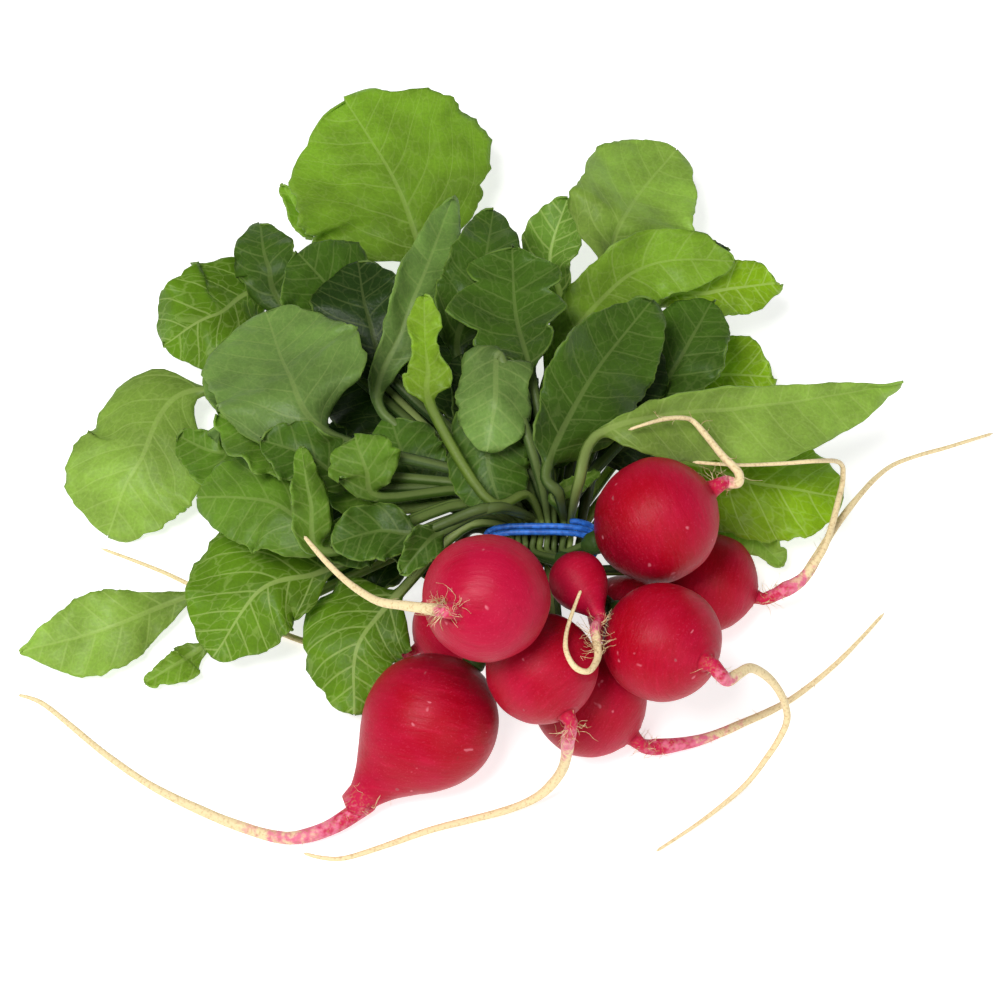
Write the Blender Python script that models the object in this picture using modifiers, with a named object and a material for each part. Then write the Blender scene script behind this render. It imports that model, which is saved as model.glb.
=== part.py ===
"""A bunch of red radishes with their leaves, tied at the leaf stems, lying on a table."""
import math

import bmesh
import bpy
import numpy as np
from mathutils import Vector

MM = 0.001

# The bunch is laid out on a sketch 250 mm square, looked at from above along a slanting sight line.
# A sketch place (x, y) counts quarter millimetres from the upper left corner of the sketch.
SIGHT_SLOPE = math.radians(60.0)
SIGHT_REACH = 900.0
SKETCH_UNIT = 0.25
SKETCH_MIDDLE = 500.0
GROUND = np.array([-21.3, 62.6, 0.0])
ACROSS = np.array([1.0, 0.0, 0.0])
UPWARD = np.array([0.0, math.sin(SIGHT_SLOPE), math.cos(SIGHT_SLOPE)])
TOWARD = np.array([0.0, -math.cos(SIGHT_SLOPE), math.sin(SIGHT_SLOPE)])
EYE = GROUND + SIGHT_REACH * TOWARD

# Roots: a round bulb turned about its own axis, with a thin tail.
BULB_SIDES = 13
BULB_TOP = ((0.0, 0.0), (0.0, 0.2), (0.06, 0.47), (0.18, 0.77), (0.35, 0.955), (0.52, 1.0))
ROUND_FOOT = ((0.69, 0.94), (0.84, 0.74), (0.94, 0.47), (0.99, 0.2), (0.99, 0.0))
POINTED_FOOT = ((0.68, 0.93), (0.82, 0.76), (0.94, 0.53), (1.05, 0.34), (1.15, 0.22), (1.15, 0.0))
POINTED_STRETCH = 1.05
BULB_MIDDLE = 0.5
ROUND_NECK = ((0.94, 0.15), (1.08, 0.1))
POINTED_NECK = ((1.05, 0.19), (1.2, 0.155))
TABLE_SIDE = 0.3
TAIL_BEVEL = 1
TAIL_STEPS = 2

# Tie: petioles pass it in three rows, side by side.
TIE = np.array([-11.5, 35.4, 25.5])
ROW_PITCH = 4.0
ROW_SPREAD = 3.0
COLUMN_PITCH = 1.6
PLANT_GAP = 0.7
TIE_HALF_LENGTH = 4.5
STALK_END = 1.5
STALK_TRIM = 0.1
LEAD_LENGTH = 13.0
SHORT_LEAD = 6.0
LEAD_SHARE = 0.4
LEAD_LEAN = 0.45
LEAD_STATION = 2
BAND_HALF_WIDTH = 13.4
BAND_HALF_HEIGHT = 8.8
BAND_SQUARENESS = 3.4
BAND_THICKNESS = 1.2
BAND_TURNS = 2.2
BAND_PITCH = 1.7
BAND_STEPS = 15

# Leaves: a round petiole that flattens into a thin blade.
PETIOLE_AT_TIE = 0.72
PETIOLE_RADIUS = 1.25
BLADE_HALF = 0.34
STEM_LANE = 0.87
STEM_FULLNESS = 0.85
CROWN_GAP = 0.35
CROWN_TURN = 1.5
CROWN_LENGTH = 4.2
CROWN_RADIUS = 2.6
CROWN_SHARE = 0.3
CROWN_ENDS = (0.75, 0.8)
STALK_START = 0.4
STALK_SHARE = 0.25
STALK_LANES = (-1.0, -0.6, 0.0, 0.6, 1.0)
STALK_THINNING = 0.8
BLADE_STATIONS = 8
SMALL_BLADE_STATIONS = 7
YOUNG_BLADE_STATIONS = 5
SMALL_BLADE = 58.0
YOUNG_BLADE = 40.0

# Pile: each leaf is raised along the sight line until it clears what lies below it.
CELL = 2.0
CELLS = 520
PILE_GAP = 0.7
TAIL_GAP = 0.6
FLOOR_GAP = 0.2
SPREAD = 1

OUTLINES = {
    "round": (0.1, 0.5, 0.8, 0.95, 1.0, 0.98, 0.88, 0.64, 0.16),
    "oval": (0.1, 0.6, 0.92, 1.0, 0.97, 0.86, 0.68, 0.42, 0.08),
    "spoon": (0.1, 0.32, 0.55, 0.78, 0.94, 1.0, 0.94, 0.7, 0.16),
    "young": (0.12, 0.8, 1.0, 0.78, 0.55, 0.56, 0.7, 0.56, 0.14),
    "sword": (0.12, 0.36, 0.62, 0.86, 1.0, 0.97, 0.8, 0.5, 0.08),
    "broad": (0.5, 0.86, 0.97, 1.0, 1.0, 0.96, 0.86, 0.66, 0.26),
    "strap": (0.14, 0.5, 0.8, 0.94, 1.0, 1.0, 0.93, 0.74, 0.24),
}

# Plants, low ones first: sketch place and height of the bulb's middle, radius, stretch of the lower
# half, way the tail points (right, up, toward the eye), row at the tie, tails as (x, y, height, radius).
PLANTS = (
    ("01", (452.0, 628.0), 9.3, 9.7, 1.0, (-0.85, -0.5, 0.0), 0, (
        ((395, 655, 3.0, 1.2), (300, 640, 1.3, 0.8), (220, 600, 1.1, 0.6), (163, 572, 0.9, 0.5),
         (100, 548, 0.7, 0.35)),
    )),
    ("02", (431.0, 721.0), 15.7, 16.1, 1.12, (-0.67, -0.74, 0.0), 0, (
        ((366, 803, 5.0, 2.3), (333, 826, 3.4, 1.8), (290, 838, 2.2, 1.5), (245, 828, 1.7, 1.3),
         (200, 810, 1.5, 1.1), (150, 785, 1.3, 0.9), (100, 750, 1.1, 0.8), (45, 705, 0.8, 0.6),
         (18, 695, 0.6, 0.35)),
    )),
    ("03", (589.5, 699.5), 13.3, 13.7, 1.0, (0.75, -0.66, 0.0), 0, (
        ((655, 747, 4.2, 1.8), (700, 740, 2.4, 1.3), (745, 722, 1.6, 1.0), (790, 700, 1.2, 0.8),
         (840, 660, 0.9, 0.6), (885, 612, 0.6, 0.35)),
    )),
    ("04", (625.0, 612.0), 8.7, 9.1, 1.0, (0.7, -0.7, 0.0), 0, (
        ((672, 650, 3.0, 1.1), (690, 656, 1.6, 0.8), (712, 660, 0.8, 0.4)),
    )),
    ("05", (709.0, 582.0), 11.5, 11.9, 1.0, (0.95, -0.3, 0.0), 0, (
        ((786, 589, 12.0, 1.8), (806, 575, 12.5, 1.4), (830, 535, 12.5, 0.95), (860, 495, 10.0, 0.8),
         (893, 465, 6.0, 0.6), (945, 448, 3.0, 0.5), (994, 433, 1.5, 0.35)),
        ((800, 581, 12.5, 1.2), (824, 548, 15.5, 0.85), (838, 502, 16.5, 0.75), (843, 474, 16.5, 0.65),
         (835, 461, 16.5, 0.55), (790, 463, 16.0, 0.5), (740, 465, 15.0, 0.45), (692, 462, 15.0, 0.4)),
    )),
    ("06", (541.5, 668.0), 37.5, 13.0, 1.0, (0.45, -0.82, 0.36), 1, (
        ((568, 740, 27.0, 1.5), (563, 768, 13.0, 1.3), (540, 795, 4.5, 1.1), (500, 812, 2.2, 0.95),
         (430, 830, 1.4, 0.8), (345, 858, 1.0, 0.6), (303, 853, 0.7, 0.35)),
    )),
    ("07", (662.0, 642.0), 37.5, 13.9, 1.0, (0.7, -0.31, 0.64), 1, (
        ((728, 680, 40.0, 1.5), (750, 668, 36.0, 1.2), (775, 685, 26.0, 1.0), (787, 720, 14.0, 0.85),
         (765, 760, 6.0, 0.7), (740, 790, 2.4, 0.6), (700, 822, 1.2, 0.5), (655, 852, 0.6, 0.35)),
    )),
    ("08", (487.0, 597.0), 61.5, 14.5, 1.0, (-0.5, -0.17, 0.85), 2, (
        ((430, 609, 69.5, 1.3), (400, 605, 65.0, 1.05), (375, 600, 61.0, 0.9), (345, 580, 57.0, 0.8),
         (320, 555, 55.0, 0.65), (304, 536, 54.0, 0.4)),
    )),
    ("09", (578.0, 580.0), 42.0, 6.8, 1.25, (0.4, -0.7, 0.5), 2, (
        ((595, 630, 46.0, 1.1), (598, 655, 48.0, 0.85), (589, 671, 50.5, 0.75), (575, 667, 52.0, 0.65),
         (566, 650, 52.5, 0.6), (567, 630, 52.0, 0.5), (574, 608, 52.5, 0.4), (581, 590, 53.0, 0.35)),
    )),
    ("10", (656.5, 521.0), 43.0, 14.8, 1.0, (0.87, 0.5, 0.0), 2, (
        ((727, 482, 46.5, 1.4), (738, 483, 47.0, 1.15), (738, 472, 47.5, 1.0), (721, 454, 48.0, 0.9),
         (697, 425, 47.0, 0.7), (684, 418, 46.0, 0.6), (660, 420, 45.0, 0.5), (628, 430, 44.0, 0.35)),
    )),
)
FLOOR_PLANTS = ("01", "02", "03", "04", "05")

# Leaves of each plant, lowest first: outline, blade line as sketch places with heights, half widths on
# its left and right, rise of the left and right edge, depth of the lobes, height of the waves.
LEAVES = {
    "01": (
        ("oval", ((415, 548, 9), (365, 552, 10), (300, 566, 8)), (40, 36), (-2, -2), 0.05, 1.5),
        ("sword", ((205, 592, 6), (110, 628, 7), (20, 652, 1)), (42, 38), (-2, 3), 0.03, 1.2),
        ("oval", ((218, 640, 4), (180, 662, 4), (145, 683, 3)), (20, 14), (1, 1), 0.02, 0.5),
        ("round", ((212, 392, 13), (137, 465, 13), (108, 535, 2)), (68, 62), (-3, -3), 0.03, 1.5),
        ("oval", ((262, 445, 14), (218, 452, 17), (178, 436, 14)), (38, 26), (3, 3), 0.06, 1.5),
        ("round", ((420, 486, 12), (350, 474, 15), (272, 472, 12)), (54, 58), (3, -3), 0.05, 1.5),
        ("round", ((280, 440, 14), (236, 385, 20), (222, 322, 18)), (30, 34), (3, -2), 0.06, 1.5),
        ("oval", ((448, 560, 9), (414, 552, 10), (372, 526, 10)), (22, 26), (2, -2), 0.05, 1.2),
    ),
    "02": (
        ("oval", ((335, 255, 12), (305, 222, 16), (281, 184, 18)), (13, 15), (2, 2), 0.08, 1.0),
        ("round", ((430, 275, 12), (396, 185, 20), (344, 100, 22)), (106, 98), (4, -4), 0.05, 2.0),
        ("round", ((290, 305, 12), (215, 315, 13), (162, 345, 3)), (56, 54), (-3, 3), 0.04, 1.5),
        ("round", ((300, 325, 14), (268, 265, 20), (260, 224, 20)), (32, 32), (-3, 4), 0.05, 1.5),
        ("round", ((440, 440, 14), (392, 392, 17), (340, 352, 16)), (66, 50), (-3, 3), 0.05, 1.5),
    ),
    "03": (
        ("round", ((516, 440, 13), (470, 372, 16), (440, 318, 16)), (46, 46), (3, -2), 0.05, 1.5),
        ("spoon", ((562, 318, 13), (550, 258, 20), (568, 198, 26)), (30, 26), (3, 4), 0.07, 1.5),
        ("round", ((604, 275, 12), (630, 208, 16), (676, 150, 16)), (62, 66), (-3, -3), 0.04, 1.5),
        ("round", ((566, 430, 13), (586, 372, 16), (612, 318, 14)), (40, 42), (3, -2), 0.05, 1.5),
    ),
    "04": (
        ("oval", ((655, 300, 12), (695, 256, 14), (728, 252, 12)), (17, 17), (2, 2), 0.05, 1.0),
        ("strap", ((648, 314, 14), (712, 292, 17), (779, 283, 14)), (30, 28), (4, -4), 0.03, 1.5),
        ("round", ((655, 415, 13), (712, 378, 16), (774, 378, 12)), (44, 38), (3, -3), 0.05, 1.5),
    ),
    "05": (
        ("oval", ((690, 492, 7), (742, 528, 8), (784, 566, 5)), (28, 20), (4, 1), 0.06, 1.2),
        ("round", ((655, 458, 10), (760, 485, 12), (844, 497, 8)), (54, 56), (-3, -3), 0.04, 2.0),
        ("oval", ((598, 464, 11), (645, 440, 12), (700, 424, 11)), (28, 24), (2, -2), 0.05, 1.2),
    ),
    "06": (
        ("oval", ((402, 590, 16), (358, 645, 14), (354, 714, 8)), (46, 58), (-2, -4), 0.07, 2.0),
        ("round", ((336, 568, 20), (262, 590, 22), (212, 658, 12)), (50, 68), (-4, -3), 0.05, 2.0),
        ("round", ((408, 540, 22), (366, 538, 26), (326, 556, 24)), (28, 30), (2, 3), 0.06, 1.2),
        ("round", ((378, 360, 20), (332, 292, 26), (298, 252, 24)), (52, 50), (4, -3), 0.05, 1.5),
        ("round", ((398, 385, 22), (368, 315, 28), (358, 262, 26)), (54, 50), (-3, 4), 0.05, 1.5),
        ("strap", ((382, 412, 24), (402, 330, 32), (428, 264, 38), (453, 196, 36)), (22, 24), (5, -3),
         0.04, 1.5),
        ("round", ((452, 508, 24), (410, 468, 28), (390, 418, 28)), (40, 42), (-3, 3), 0.06, 1.5),
        ("round", ((402, 508, 24), (360, 486, 27), (318, 452, 27)), (34, 34), (3, -3), 0.06, 1.5),
    ),
    "07": (
        ("round", ((458, 360, 22), (480, 285, 26), (494, 210, 28)), (40, 38), (4, -3), 0.06, 1.5),
        ("strap", ((546, 388, 24), (590, 312, 28), (650, 264, 30), (734, 261, 27)), (34, 38), (4, -4),
         0.03, 1.5),
        ("round", ((640, 420, 24), (684, 352, 26), (712, 300, 24)), (42, 40), (-3, 3), 0.06, 1.5),
        ("round", ((580, 440, 24), (622, 392, 27), (660, 350, 26)), (34, 36), (3, -3), 0.06, 1.5),
        ("oval", ((502, 436, 24), (480, 400, 28), (460, 356, 28)), (32, 34), (3, -3), 0.06, 1.5),
        ("oval", ((544, 470, 24), (560, 424, 28), (568, 366, 28)), (36, 30), (3, -3), 0.06, 1.5),
    ),
    "08": (
        ("round", ((345, 540, 32), (270, 502, 36), (198, 498, 30)), (50, 44), (-4, -3), 0.05, 1.5),
        ("round", ((326, 470, 30), (268, 440, 34), (218, 414, 32)), (34, 34), (4, 5), 0.12, 2.0),
        ("round", ((330, 436, 32), (288, 372, 40), (266, 312, 38)), (82, 78), (-5, 4), 0.03, 1.2),
        ("round", ((360, 486, 34), (308, 456, 40), (262, 440, 38)), (30, 32), (4, 4), 0.12, 2.0),
        ("oval", ((328, 552, 38), (311, 500, 44), (301, 446, 44)), (19, 19), (3, -3), 0.04, 1.0),
        ("spoon", ((380, 498, 36), (366, 470, 41), (354, 437, 42)), (36, 36), (1, 1), 0.1, 0.6),
    ),
    "09": (
        ("oval", ((518, 445, 38), (512, 388, 42), (506, 348, 42)), (24, 26), (2, 2), 0.16, 1.2),
        ("spoon", ((532, 378, 38), (516, 315, 42), (512, 246, 42)), (58, 48), (3, 4), 0.22, 1.5),
        ("broad", ((496, 420, 44), (488, 462, 44), (502, 512, 40)), (42, 40), (-3, -3), 0.03, 1.0),
        ("broad", ((500, 356, 44), (495, 404, 48), (487, 452, 47)), (36, 37), (-4, -3), 0.05, 1.2),
        ("young", ((432, 408, 46), (428, 370, 50), (425, 335, 52), (424, 295, 54)), (26, 25), (2, 2),
         0.05, 0.8),
        ("round", ((422, 532, 36), (378, 532, 40), (330, 546, 40)), (28, 30), (2, 3), 0.06, 1.2),
        ("oval", ((444, 530, 36), (424, 546, 38), (400, 574, 36)), (18, 20), (3, 3), 0.05, 1.0),
    ),
    "10": (
        ("oval", ((553, 497, 33), (574, 486, 35), (600, 472, 34)), (10, 10), (1, 1), 0.03, 0.3),
        ("round", ((546, 468, 34), (590, 380, 42), (652, 300, 42)), (42, 56), (6, -6), 0.04, 2.0),
        ("sword", ((596, 436, 32), (665, 415, 34), (780, 404, 31), (903, 384, 24)), (20, 58), (3, -4),
         0.04, 2.0),
    ),
}
# Petioles of these leaves go round by way of a further sketch place and height.
DETOURS = {
    ("09", 4): (488, 500, 38),
}


def seen(x, y, height):
    """Place in millimetres of a sketch point that lies `height` above the table."""
    across = (np.asarray(x, float) - SKETCH_MIDDLE) * SKETCH_UNIT
    upward = (SKETCH_MIDDLE - np.asarray(y, float)) * SKETCH_UNIT
    height = np.asarray(height, float)
    plane = GROUND + across[..., None] * ACROSS + upward[..., None] * UPWARD
    share = (EYE[2] - height) / (EYE[2] - plane[..., 2])
    return EYE + share[..., None] * (plane - EYE)


def drawn(place):
    """Sketch point and height of a place: the reverse of `seen`."""
    place = np.asarray(place, float)
    share = SIGHT_REACH / ((EYE - place) @ TOWARD)
    plane = EYE + share[..., None] * (place - EYE)
    x = SKETCH_MIDDLE + ((plane - GROUND) @ ACROSS) / SKETCH_UNIT
    y = SKETCH_MIDDLE - ((plane - GROUND) @ UPWARD) / SKETCH_UNIT
    return np.stack([x, y, place[..., 2]], axis=-1)


def unit(vector):
    """The vector at length one."""
    vector = np.asarray(vector, float)
    length = np.linalg.norm(vector, axis=-1, keepdims=True)
    return vector / np.maximum(length, 1e-9)


def smooth_line(points, stations):
    """Rounded line through the points, read at stations counted in points from its start."""
    points = np.asarray(points, float)
    ends = np.vstack([2 * points[0] - points[1], points, 2 * points[-1] - points[-2]])
    places = []
    for station in stations:
        leg = min(int(station), len(points) - 2)
        t = station - leg
        a, b, c, d = ends[leg:leg + 4]
        places.append(0.5 * (2 * b + (c - a) * t + (2 * a - 5 * b + 4 * c - d) * t ** 2
                             + (3 * b - a - 3 * c + d) * t ** 3))
    return np.array(places)


def widest(outline, share):
    """Relative half width of an outline at a share of the blade's length."""
    knots = np.linspace(0.0, 1.0, len(outline))
    return np.interp(share, knots, outline)


def plant_axis(pointing):
    """World direction of a tail given as right, up and toward the eye."""
    right, up, toward = pointing
    return unit(right * ACROSS + up * UPWARD + toward * TOWARD)


def crown_way(plant):
    """World direction from a bulb's middle to the crown its petioles grow from."""
    _, spot, height, _, _, pointing, _, _ = plant
    return unit(CROWN_TURN * unit(TIE - seen(*spot, height)) - plant_axis(pointing))


def column_places():
    """Place across the tie of every petiole, plant by plant."""
    places = {}
    for row in range(3):
        members = [plant for plant in PLANTS if plant[6] == row]
        columns = [(len(LEAVES[plant[0]]) + 1) // 2 for plant in members]
        total = sum(columns) * COLUMN_PITCH + (len(members) - 1) * PLANT_GAP
        left = -total / 2
        for plant, count in zip(members, columns):
            leaves = LEAVES[plant[0]]
            tie_x, tie_y, _ = drawn(TIE)
            heading = [math.atan2(leaf[1][0][0] - tie_x, tie_y - leaf[1][0][1]) for leaf in leaves]
            order = sorted(range(len(leaves)), key=lambda index: heading[index])
            for column in range(count):
                pair = sorted(order[2 * column:2 * column + 2])
                across = left + (column + 0.5) * COLUMN_PITCH
                for level, index in enumerate(pair):
                    rise = (row - 1) * ROW_PITCH + (level - 0.5) * COLUMN_PITCH
                    places[plant[0], index] = (across, rise)
            left += count * COLUMN_PITCH + PLANT_GAP
    return places


def stalk_grid(plant, places):
    """Middle surface of the joined petioles from the crown to the tie."""
    number, spot, height, radius, _, _, row, _ = plant
    own = [place[0] for key, place in places.items() if key[0] == number]
    across = (min(own) + max(own)) / 2
    width = (max(own) - min(own) + COLUMN_PITCH) / 2 - STALK_TRIM
    rise = (row - 1) * ROW_PITCH
    way = crown_way(plant)
    crown = seen(*spot, height) + way * (radius + CROWN_GAP + STALK_START * CROWN_LENGTH)
    entry = TIE + np.array([across, -TIE_HALF_LENGTH, rise])
    inside = TIE + np.array([across, STALK_END, rise])
    stations = (0.0, 0.5, 1.0, 2.0)
    line = smooth_line((crown, entry, inside), stations)
    grid = np.zeros((len(stations), len(STALK_LANES), 3))
    half = np.zeros((len(stations), len(STALK_LANES)))
    lanes = np.array(STALK_LANES)
    along = np.gradient(line, axis=0)
    for i, station in enumerate(stations):
        side = unit(np.cross(along[i], (0.0, 0.0, 1.0)))
        size = min(width, STALK_SHARE * radius) if station == 0.0 else width
        grid[i] = line[i] + side * (lanes * size)[:, None]
        half[i] = COLUMN_PITCH * np.sqrt(1.0 - STALK_THINNING * lanes ** 2)
    return grid, half


def leaf_grid(plant, index, leaf, across, rise):
    """Middle surface of a leaf with its petiole: rows from the tie to the tip, columns left to right."""
    outline, line, halves, lifts, lobe, wave = leaf
    number, _, _, _, _, _, row, _ = plant
    inside = TIE + np.array([across, 0.0, rise])
    leave = TIE + np.array([across, TIE_HALF_LENGTH, rise])
    base = seen(*line[0])
    away = unit((base - leave) * np.array([1.0, 1.0, 0.0]))
    longest = SHORT_LEAD if (number, index) in DETOURS else LEAD_LENGTH
    lead_length = min(longest, LEAD_SHARE * np.linalg.norm(base - leave))
    lead = leave + lead_length * unit(away + np.array([0.0, LEAD_LEAN, 0.0]))
    lead[2] = leave[2] + (row - 1) * ROW_SPREAD
    route = [drawn(inside), drawn(leave), drawn(lead)]
    if (number, index) in DETOURS:
        route.append(np.array(DETOURS[number, index], float))
    stem_stations = list(range(len(route))) + [len(route) - 0.5]
    first = len(route)
    route = route + [np.array(point, float) for point in line]
    blade_legs = len(line) - 1
    small = max(halves) <= SMALL_BLADE
    lanes = np.array([-1.0, 0.0, 1.0]) if small else np.array([-1.0, -0.5, 0.0, 0.5, 1.0])
    blade_stations = SMALL_BLADE_STATIONS if small else BLADE_STATIONS
    if max(halves) <= YOUNG_BLADE and len(line) < 4:
        blade_stations = YOUNG_BLADE_STATIONS
    shares = np.linspace(0.0, 1.0, blade_stations)
    stations = stem_stations + [first + share * blade_legs for share in shares]
    spine = smooth_line(route, stations)
    step = 0.02
    before = smooth_line(route, [max(station - step, 0.0) for station in stations])
    after = smooth_line(route, [min(station + step, len(route) - 1.0) for station in stations])
    stem_count = len(stem_stations)
    grid = np.zeros((len(stations), len(lanes), 3))
    half = np.zeros((len(stations), len(lanes)))
    stem_lane = lanes * STEM_LANE
    stem_half = np.sqrt(1.0 - stem_lane ** 2) * STEM_FULLNESS
    for i in range(len(stations)):
        if i < stem_count:
            centre = seen(*spine[i])
            tangent = unit(seen(*after[i]) - seen(*before[i]))
            side = unit(np.cross(tangent, (0.0, 0.0, 1.0)))
            size = PETIOLE_AT_TIE if i < LEAD_STATION else PETIOLE_RADIUS
            grid[i] = centre + side * (stem_lane * size)[:, None]
            half[i] = stem_half * size
            continue
        share = shares[i - stem_count]
        heading = unit((after[i] - before[i])[:2])
        right = np.array([-heading[1], heading[0]])
        width = np.where(lanes < 0, halves[0], halves[1]) * widest(OUTLINES[outline], share)
        width = width * (1.0 + lobe * math.cos((blade_stations - 1) * math.pi * share))
        width = np.maximum(width, PETIOLE_RADIUS / SKETCH_UNIT * (1 - share))
        swell = math.sin(math.pi * min(share * 1.1, 1.0) * 0.9) ** 0.8
        edge = np.where(lanes < 0, lifts[0], lifts[1]) * np.abs(lanes) ** 1.4 * swell
        ripple = wave * lanes ** 2 * np.sin(2 * math.pi * (2.0 * share + 0.25 * lanes + 0.3 * index))
        places = spine[i][:2] + right * (lanes * width)[:, None]
        tall = spine[i][2] + edge + ripple * swell
        grid[i] = seen(places[:, 0], places[:, 1], tall)
        rib = BLADE_HALF + (PETIOLE_RADIUS * STEM_FULLNESS - BLADE_HALF) * (1 - share) ** 2
        half[i] = np.where(np.abs(lanes) < 0.1, rib, BLADE_HALF)
        if share == 0.0:
            half[i] = stem_half * PETIOLE_RADIUS
    return grid, half, stem_count


def patch_points(sketch, half):
    """Sketch points spread closely over a grid of patches, with the patch of each point."""
    rows, lanes = half.shape
    points = []
    owners = []
    for i in range(rows - 1):
        for j in range(lanes - 1):
            corners = sketch[i:i + 2, j:j + 2]
            reach = max(np.ptp(corners[..., 0]), np.ptp(corners[..., 1]), CELL)
            count = int(reach / (0.8 * CELL)) + 2
            u, v = np.meshgrid(np.linspace(0, 1, count), np.linspace(0, 1, count))
            u = u.ravel()[:, None]
            v = v.ravel()[:, None]
            spread = ((1 - u) * (1 - v) * corners[0, 0] + (1 - u) * v * corners[0, 1]
                      + u * (1 - v) * corners[1, 0] + u * v * corners[1, 1])
            depth = half[i:i + 2, j:j + 2].max()
            points.append(np.column_stack([spread, np.full(len(spread), depth), u[:, 0]]))
            owners.append(np.tile([i, j], (len(spread), 1)))
    return np.vstack(points), np.vstack(owners)


def cells_of(points):
    """Pile cells of sketch points."""
    column = np.clip((points[:, 0] / CELL).astype(int), 0, CELLS - 1)
    line = np.clip((points[:, 1] / CELL).astype(int), 0, CELLS - 1)
    return line, column


def widened(pile):
    """The pile with every cell raised to the highest of its neighbours."""
    result = pile.copy()
    for axis in (0, 1):
        source = result.copy()
        for shift in range(-SPREAD, SPREAD + 1):
            result = np.maximum(result, np.roll(source, shift, axis=axis))
    return result


def raised(pile, stems, sketch, half, blade_from):
    """Sketch grid raised until it clears the pile; the pile takes in its blade, and stems its petiole."""
    cover = widened(pile)
    lift = np.zeros(half.shape)
    reach = np.where(np.arange(half.shape[0]) < LEAD_STATION, 0.0, 1.0)
    for _ in range(4):
        risen = sketch.copy()
        risen[..., 2] += lift
        points, owners = patch_points(risen, half)
        line, column = cells_of(points)
        short = cover[line, column] + PILE_GAP + points[:, 3] - points[:, 2]
        short = np.where(owners[:, 0] < LEAD_STATION, short * points[:, 4], short)
        lacking = (short > 0.0) & (owners[:, 0] + 1 >= LEAD_STATION)
        wanted = lift.copy()
        for corner in ((0, 0), (0, 1), (1, 0), (1, 1)):
            i, j = (owners[lacking] + corner).T
            np.maximum.at(wanted, (i, j), (lift[i, j] + short[lacking]) * reach[i])
        lift = wanted
        for _ in range(2):
            lift[1:] = np.maximum(lift[1:], 0.6 * lift[:-1] * reach[1:, None])
            lift[:-1] = np.maximum(lift[:-1], 0.6 * lift[1:] * reach[:-1, None])
            lift[:, 1:] = np.maximum(lift[:, 1:], 0.8 * lift[:, :-1])
            lift[:, :-1] = np.maximum(lift[:, :-1], 0.8 * lift[:, 1:])
    risen = sketch.copy()
    risen[..., 2] += lift
    points, owners = patch_points(risen, half)
    line, column = cells_of(points)
    tall = points[:, 2] + points[:, 3]
    blade = owners[:, 0] >= blade_from
    np.maximum.at(pile, (line[blade], column[blade]), tall[blade])
    np.maximum.at(stems, (line[~blade], column[~blade]), tall[~blade])
    return risen


def leaf_solid(grid, half):
    """Closed solid round a middle surface, split into triangles alike on both faces."""
    along = np.gradient(grid, axis=0)
    sideways = np.gradient(grid, axis=1)
    normal = unit(np.cross(sideways, along))
    top = grid + normal * half[..., None]
    bottom = grid - normal * half[..., None]
    rows, lanes = half.shape
    count = rows * lanes
    faces = []

    def over(i, j):
        return i * lanes + j

    def under(i, j):
        return count + i * lanes + j

    def quad(a, b, c, d):
        faces.append((a, b, c))
        faces.append((a, c, d))

    for i in range(rows - 1):
        for j in range(lanes - 1):
            quad(over(i, j), over(i, j + 1), over(i + 1, j + 1), over(i + 1, j))
            faces.append((under(i, j), under(i + 1, j + 1), under(i, j + 1)))
            faces.append((under(i, j), under(i + 1, j), under(i + 1, j + 1)))
        quad(over(i, 0), over(i + 1, 0), under(i + 1, 0), under(i, 0))
        last = lanes - 1
        quad(under(i, last), under(i + 1, last), over(i + 1, last), over(i, last))
    for j in range(lanes - 1):
        quad(under(0, j), under(0, j + 1), over(0, j + 1), over(0, j))
        end = rows - 1
        quad(over(end, j), over(end, j + 1), under(end, j + 1), under(end, j))
    return np.concatenate([top.reshape(-1, 3), bottom.reshape(-1, 3)]), faces


def new_material(name, colour, roughness):
    """A plain material of one colour."""
    material = bpy.data.materials.new(name)
    material.use_nodes = True
    shader = material.node_tree.nodes["Principled BSDF"]
    shader.inputs["Base Color"].default_value = (*colour, 1.0)
    shader.inputs["Roughness"].default_value = roughness
    return material


def new_object(name, mesh, place, material, home):
    """A named object standing at a place given in millimetres."""
    body = bpy.data.objects.new(name, mesh)
    body.location = Vector(place) * MM
    if not body.data.materials:
        body.data.materials.append(material)
    home.objects.link(body)
    return body


def mesh_from(name, vertices, faces, place):
    """A mesh with its vertices counted from a place, in metres."""
    mesh = bpy.data.meshes.new(name)
    local = (np.asarray(vertices) - place) * MM
    mesh.from_pydata([tuple(vertex) for vertex in local], [], faces)
    mesh.update()
    return mesh


def apply_modifiers(body):
    """The object's modifiers become its mesh."""
    depsgraph = bpy.context.evaluated_depsgraph_get()
    finished = bpy.data.meshes.new_from_object(body.evaluated_get(depsgraph))
    body.modifiers.clear()
    body.data = finished


def join_solids(body, others, name, home, operation="UNION"):
    """One Boolean on a collection of solids, applied; the solids are removed."""
    group = bpy.data.collections.new(name)
    home.children.link(group)
    for other in others:
        for holder in list(other.users_collection):
            holder.objects.unlink(other)
        group.objects.link(other)
        other.hide_render = True
        other.display_type = "WIRE"
    boolean = body.modifiers.new(name, "BOOLEAN")
    boolean.operation = operation
    boolean.solver = "MANIFOLD"
    boolean.operand_type = "COLLECTION"
    boolean.collection = group
    bpy.context.view_layer.update()
    apply_modifiers(body)
    for other in others:
        bpy.data.objects.remove(other)
    bpy.data.collections.remove(group)


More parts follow.
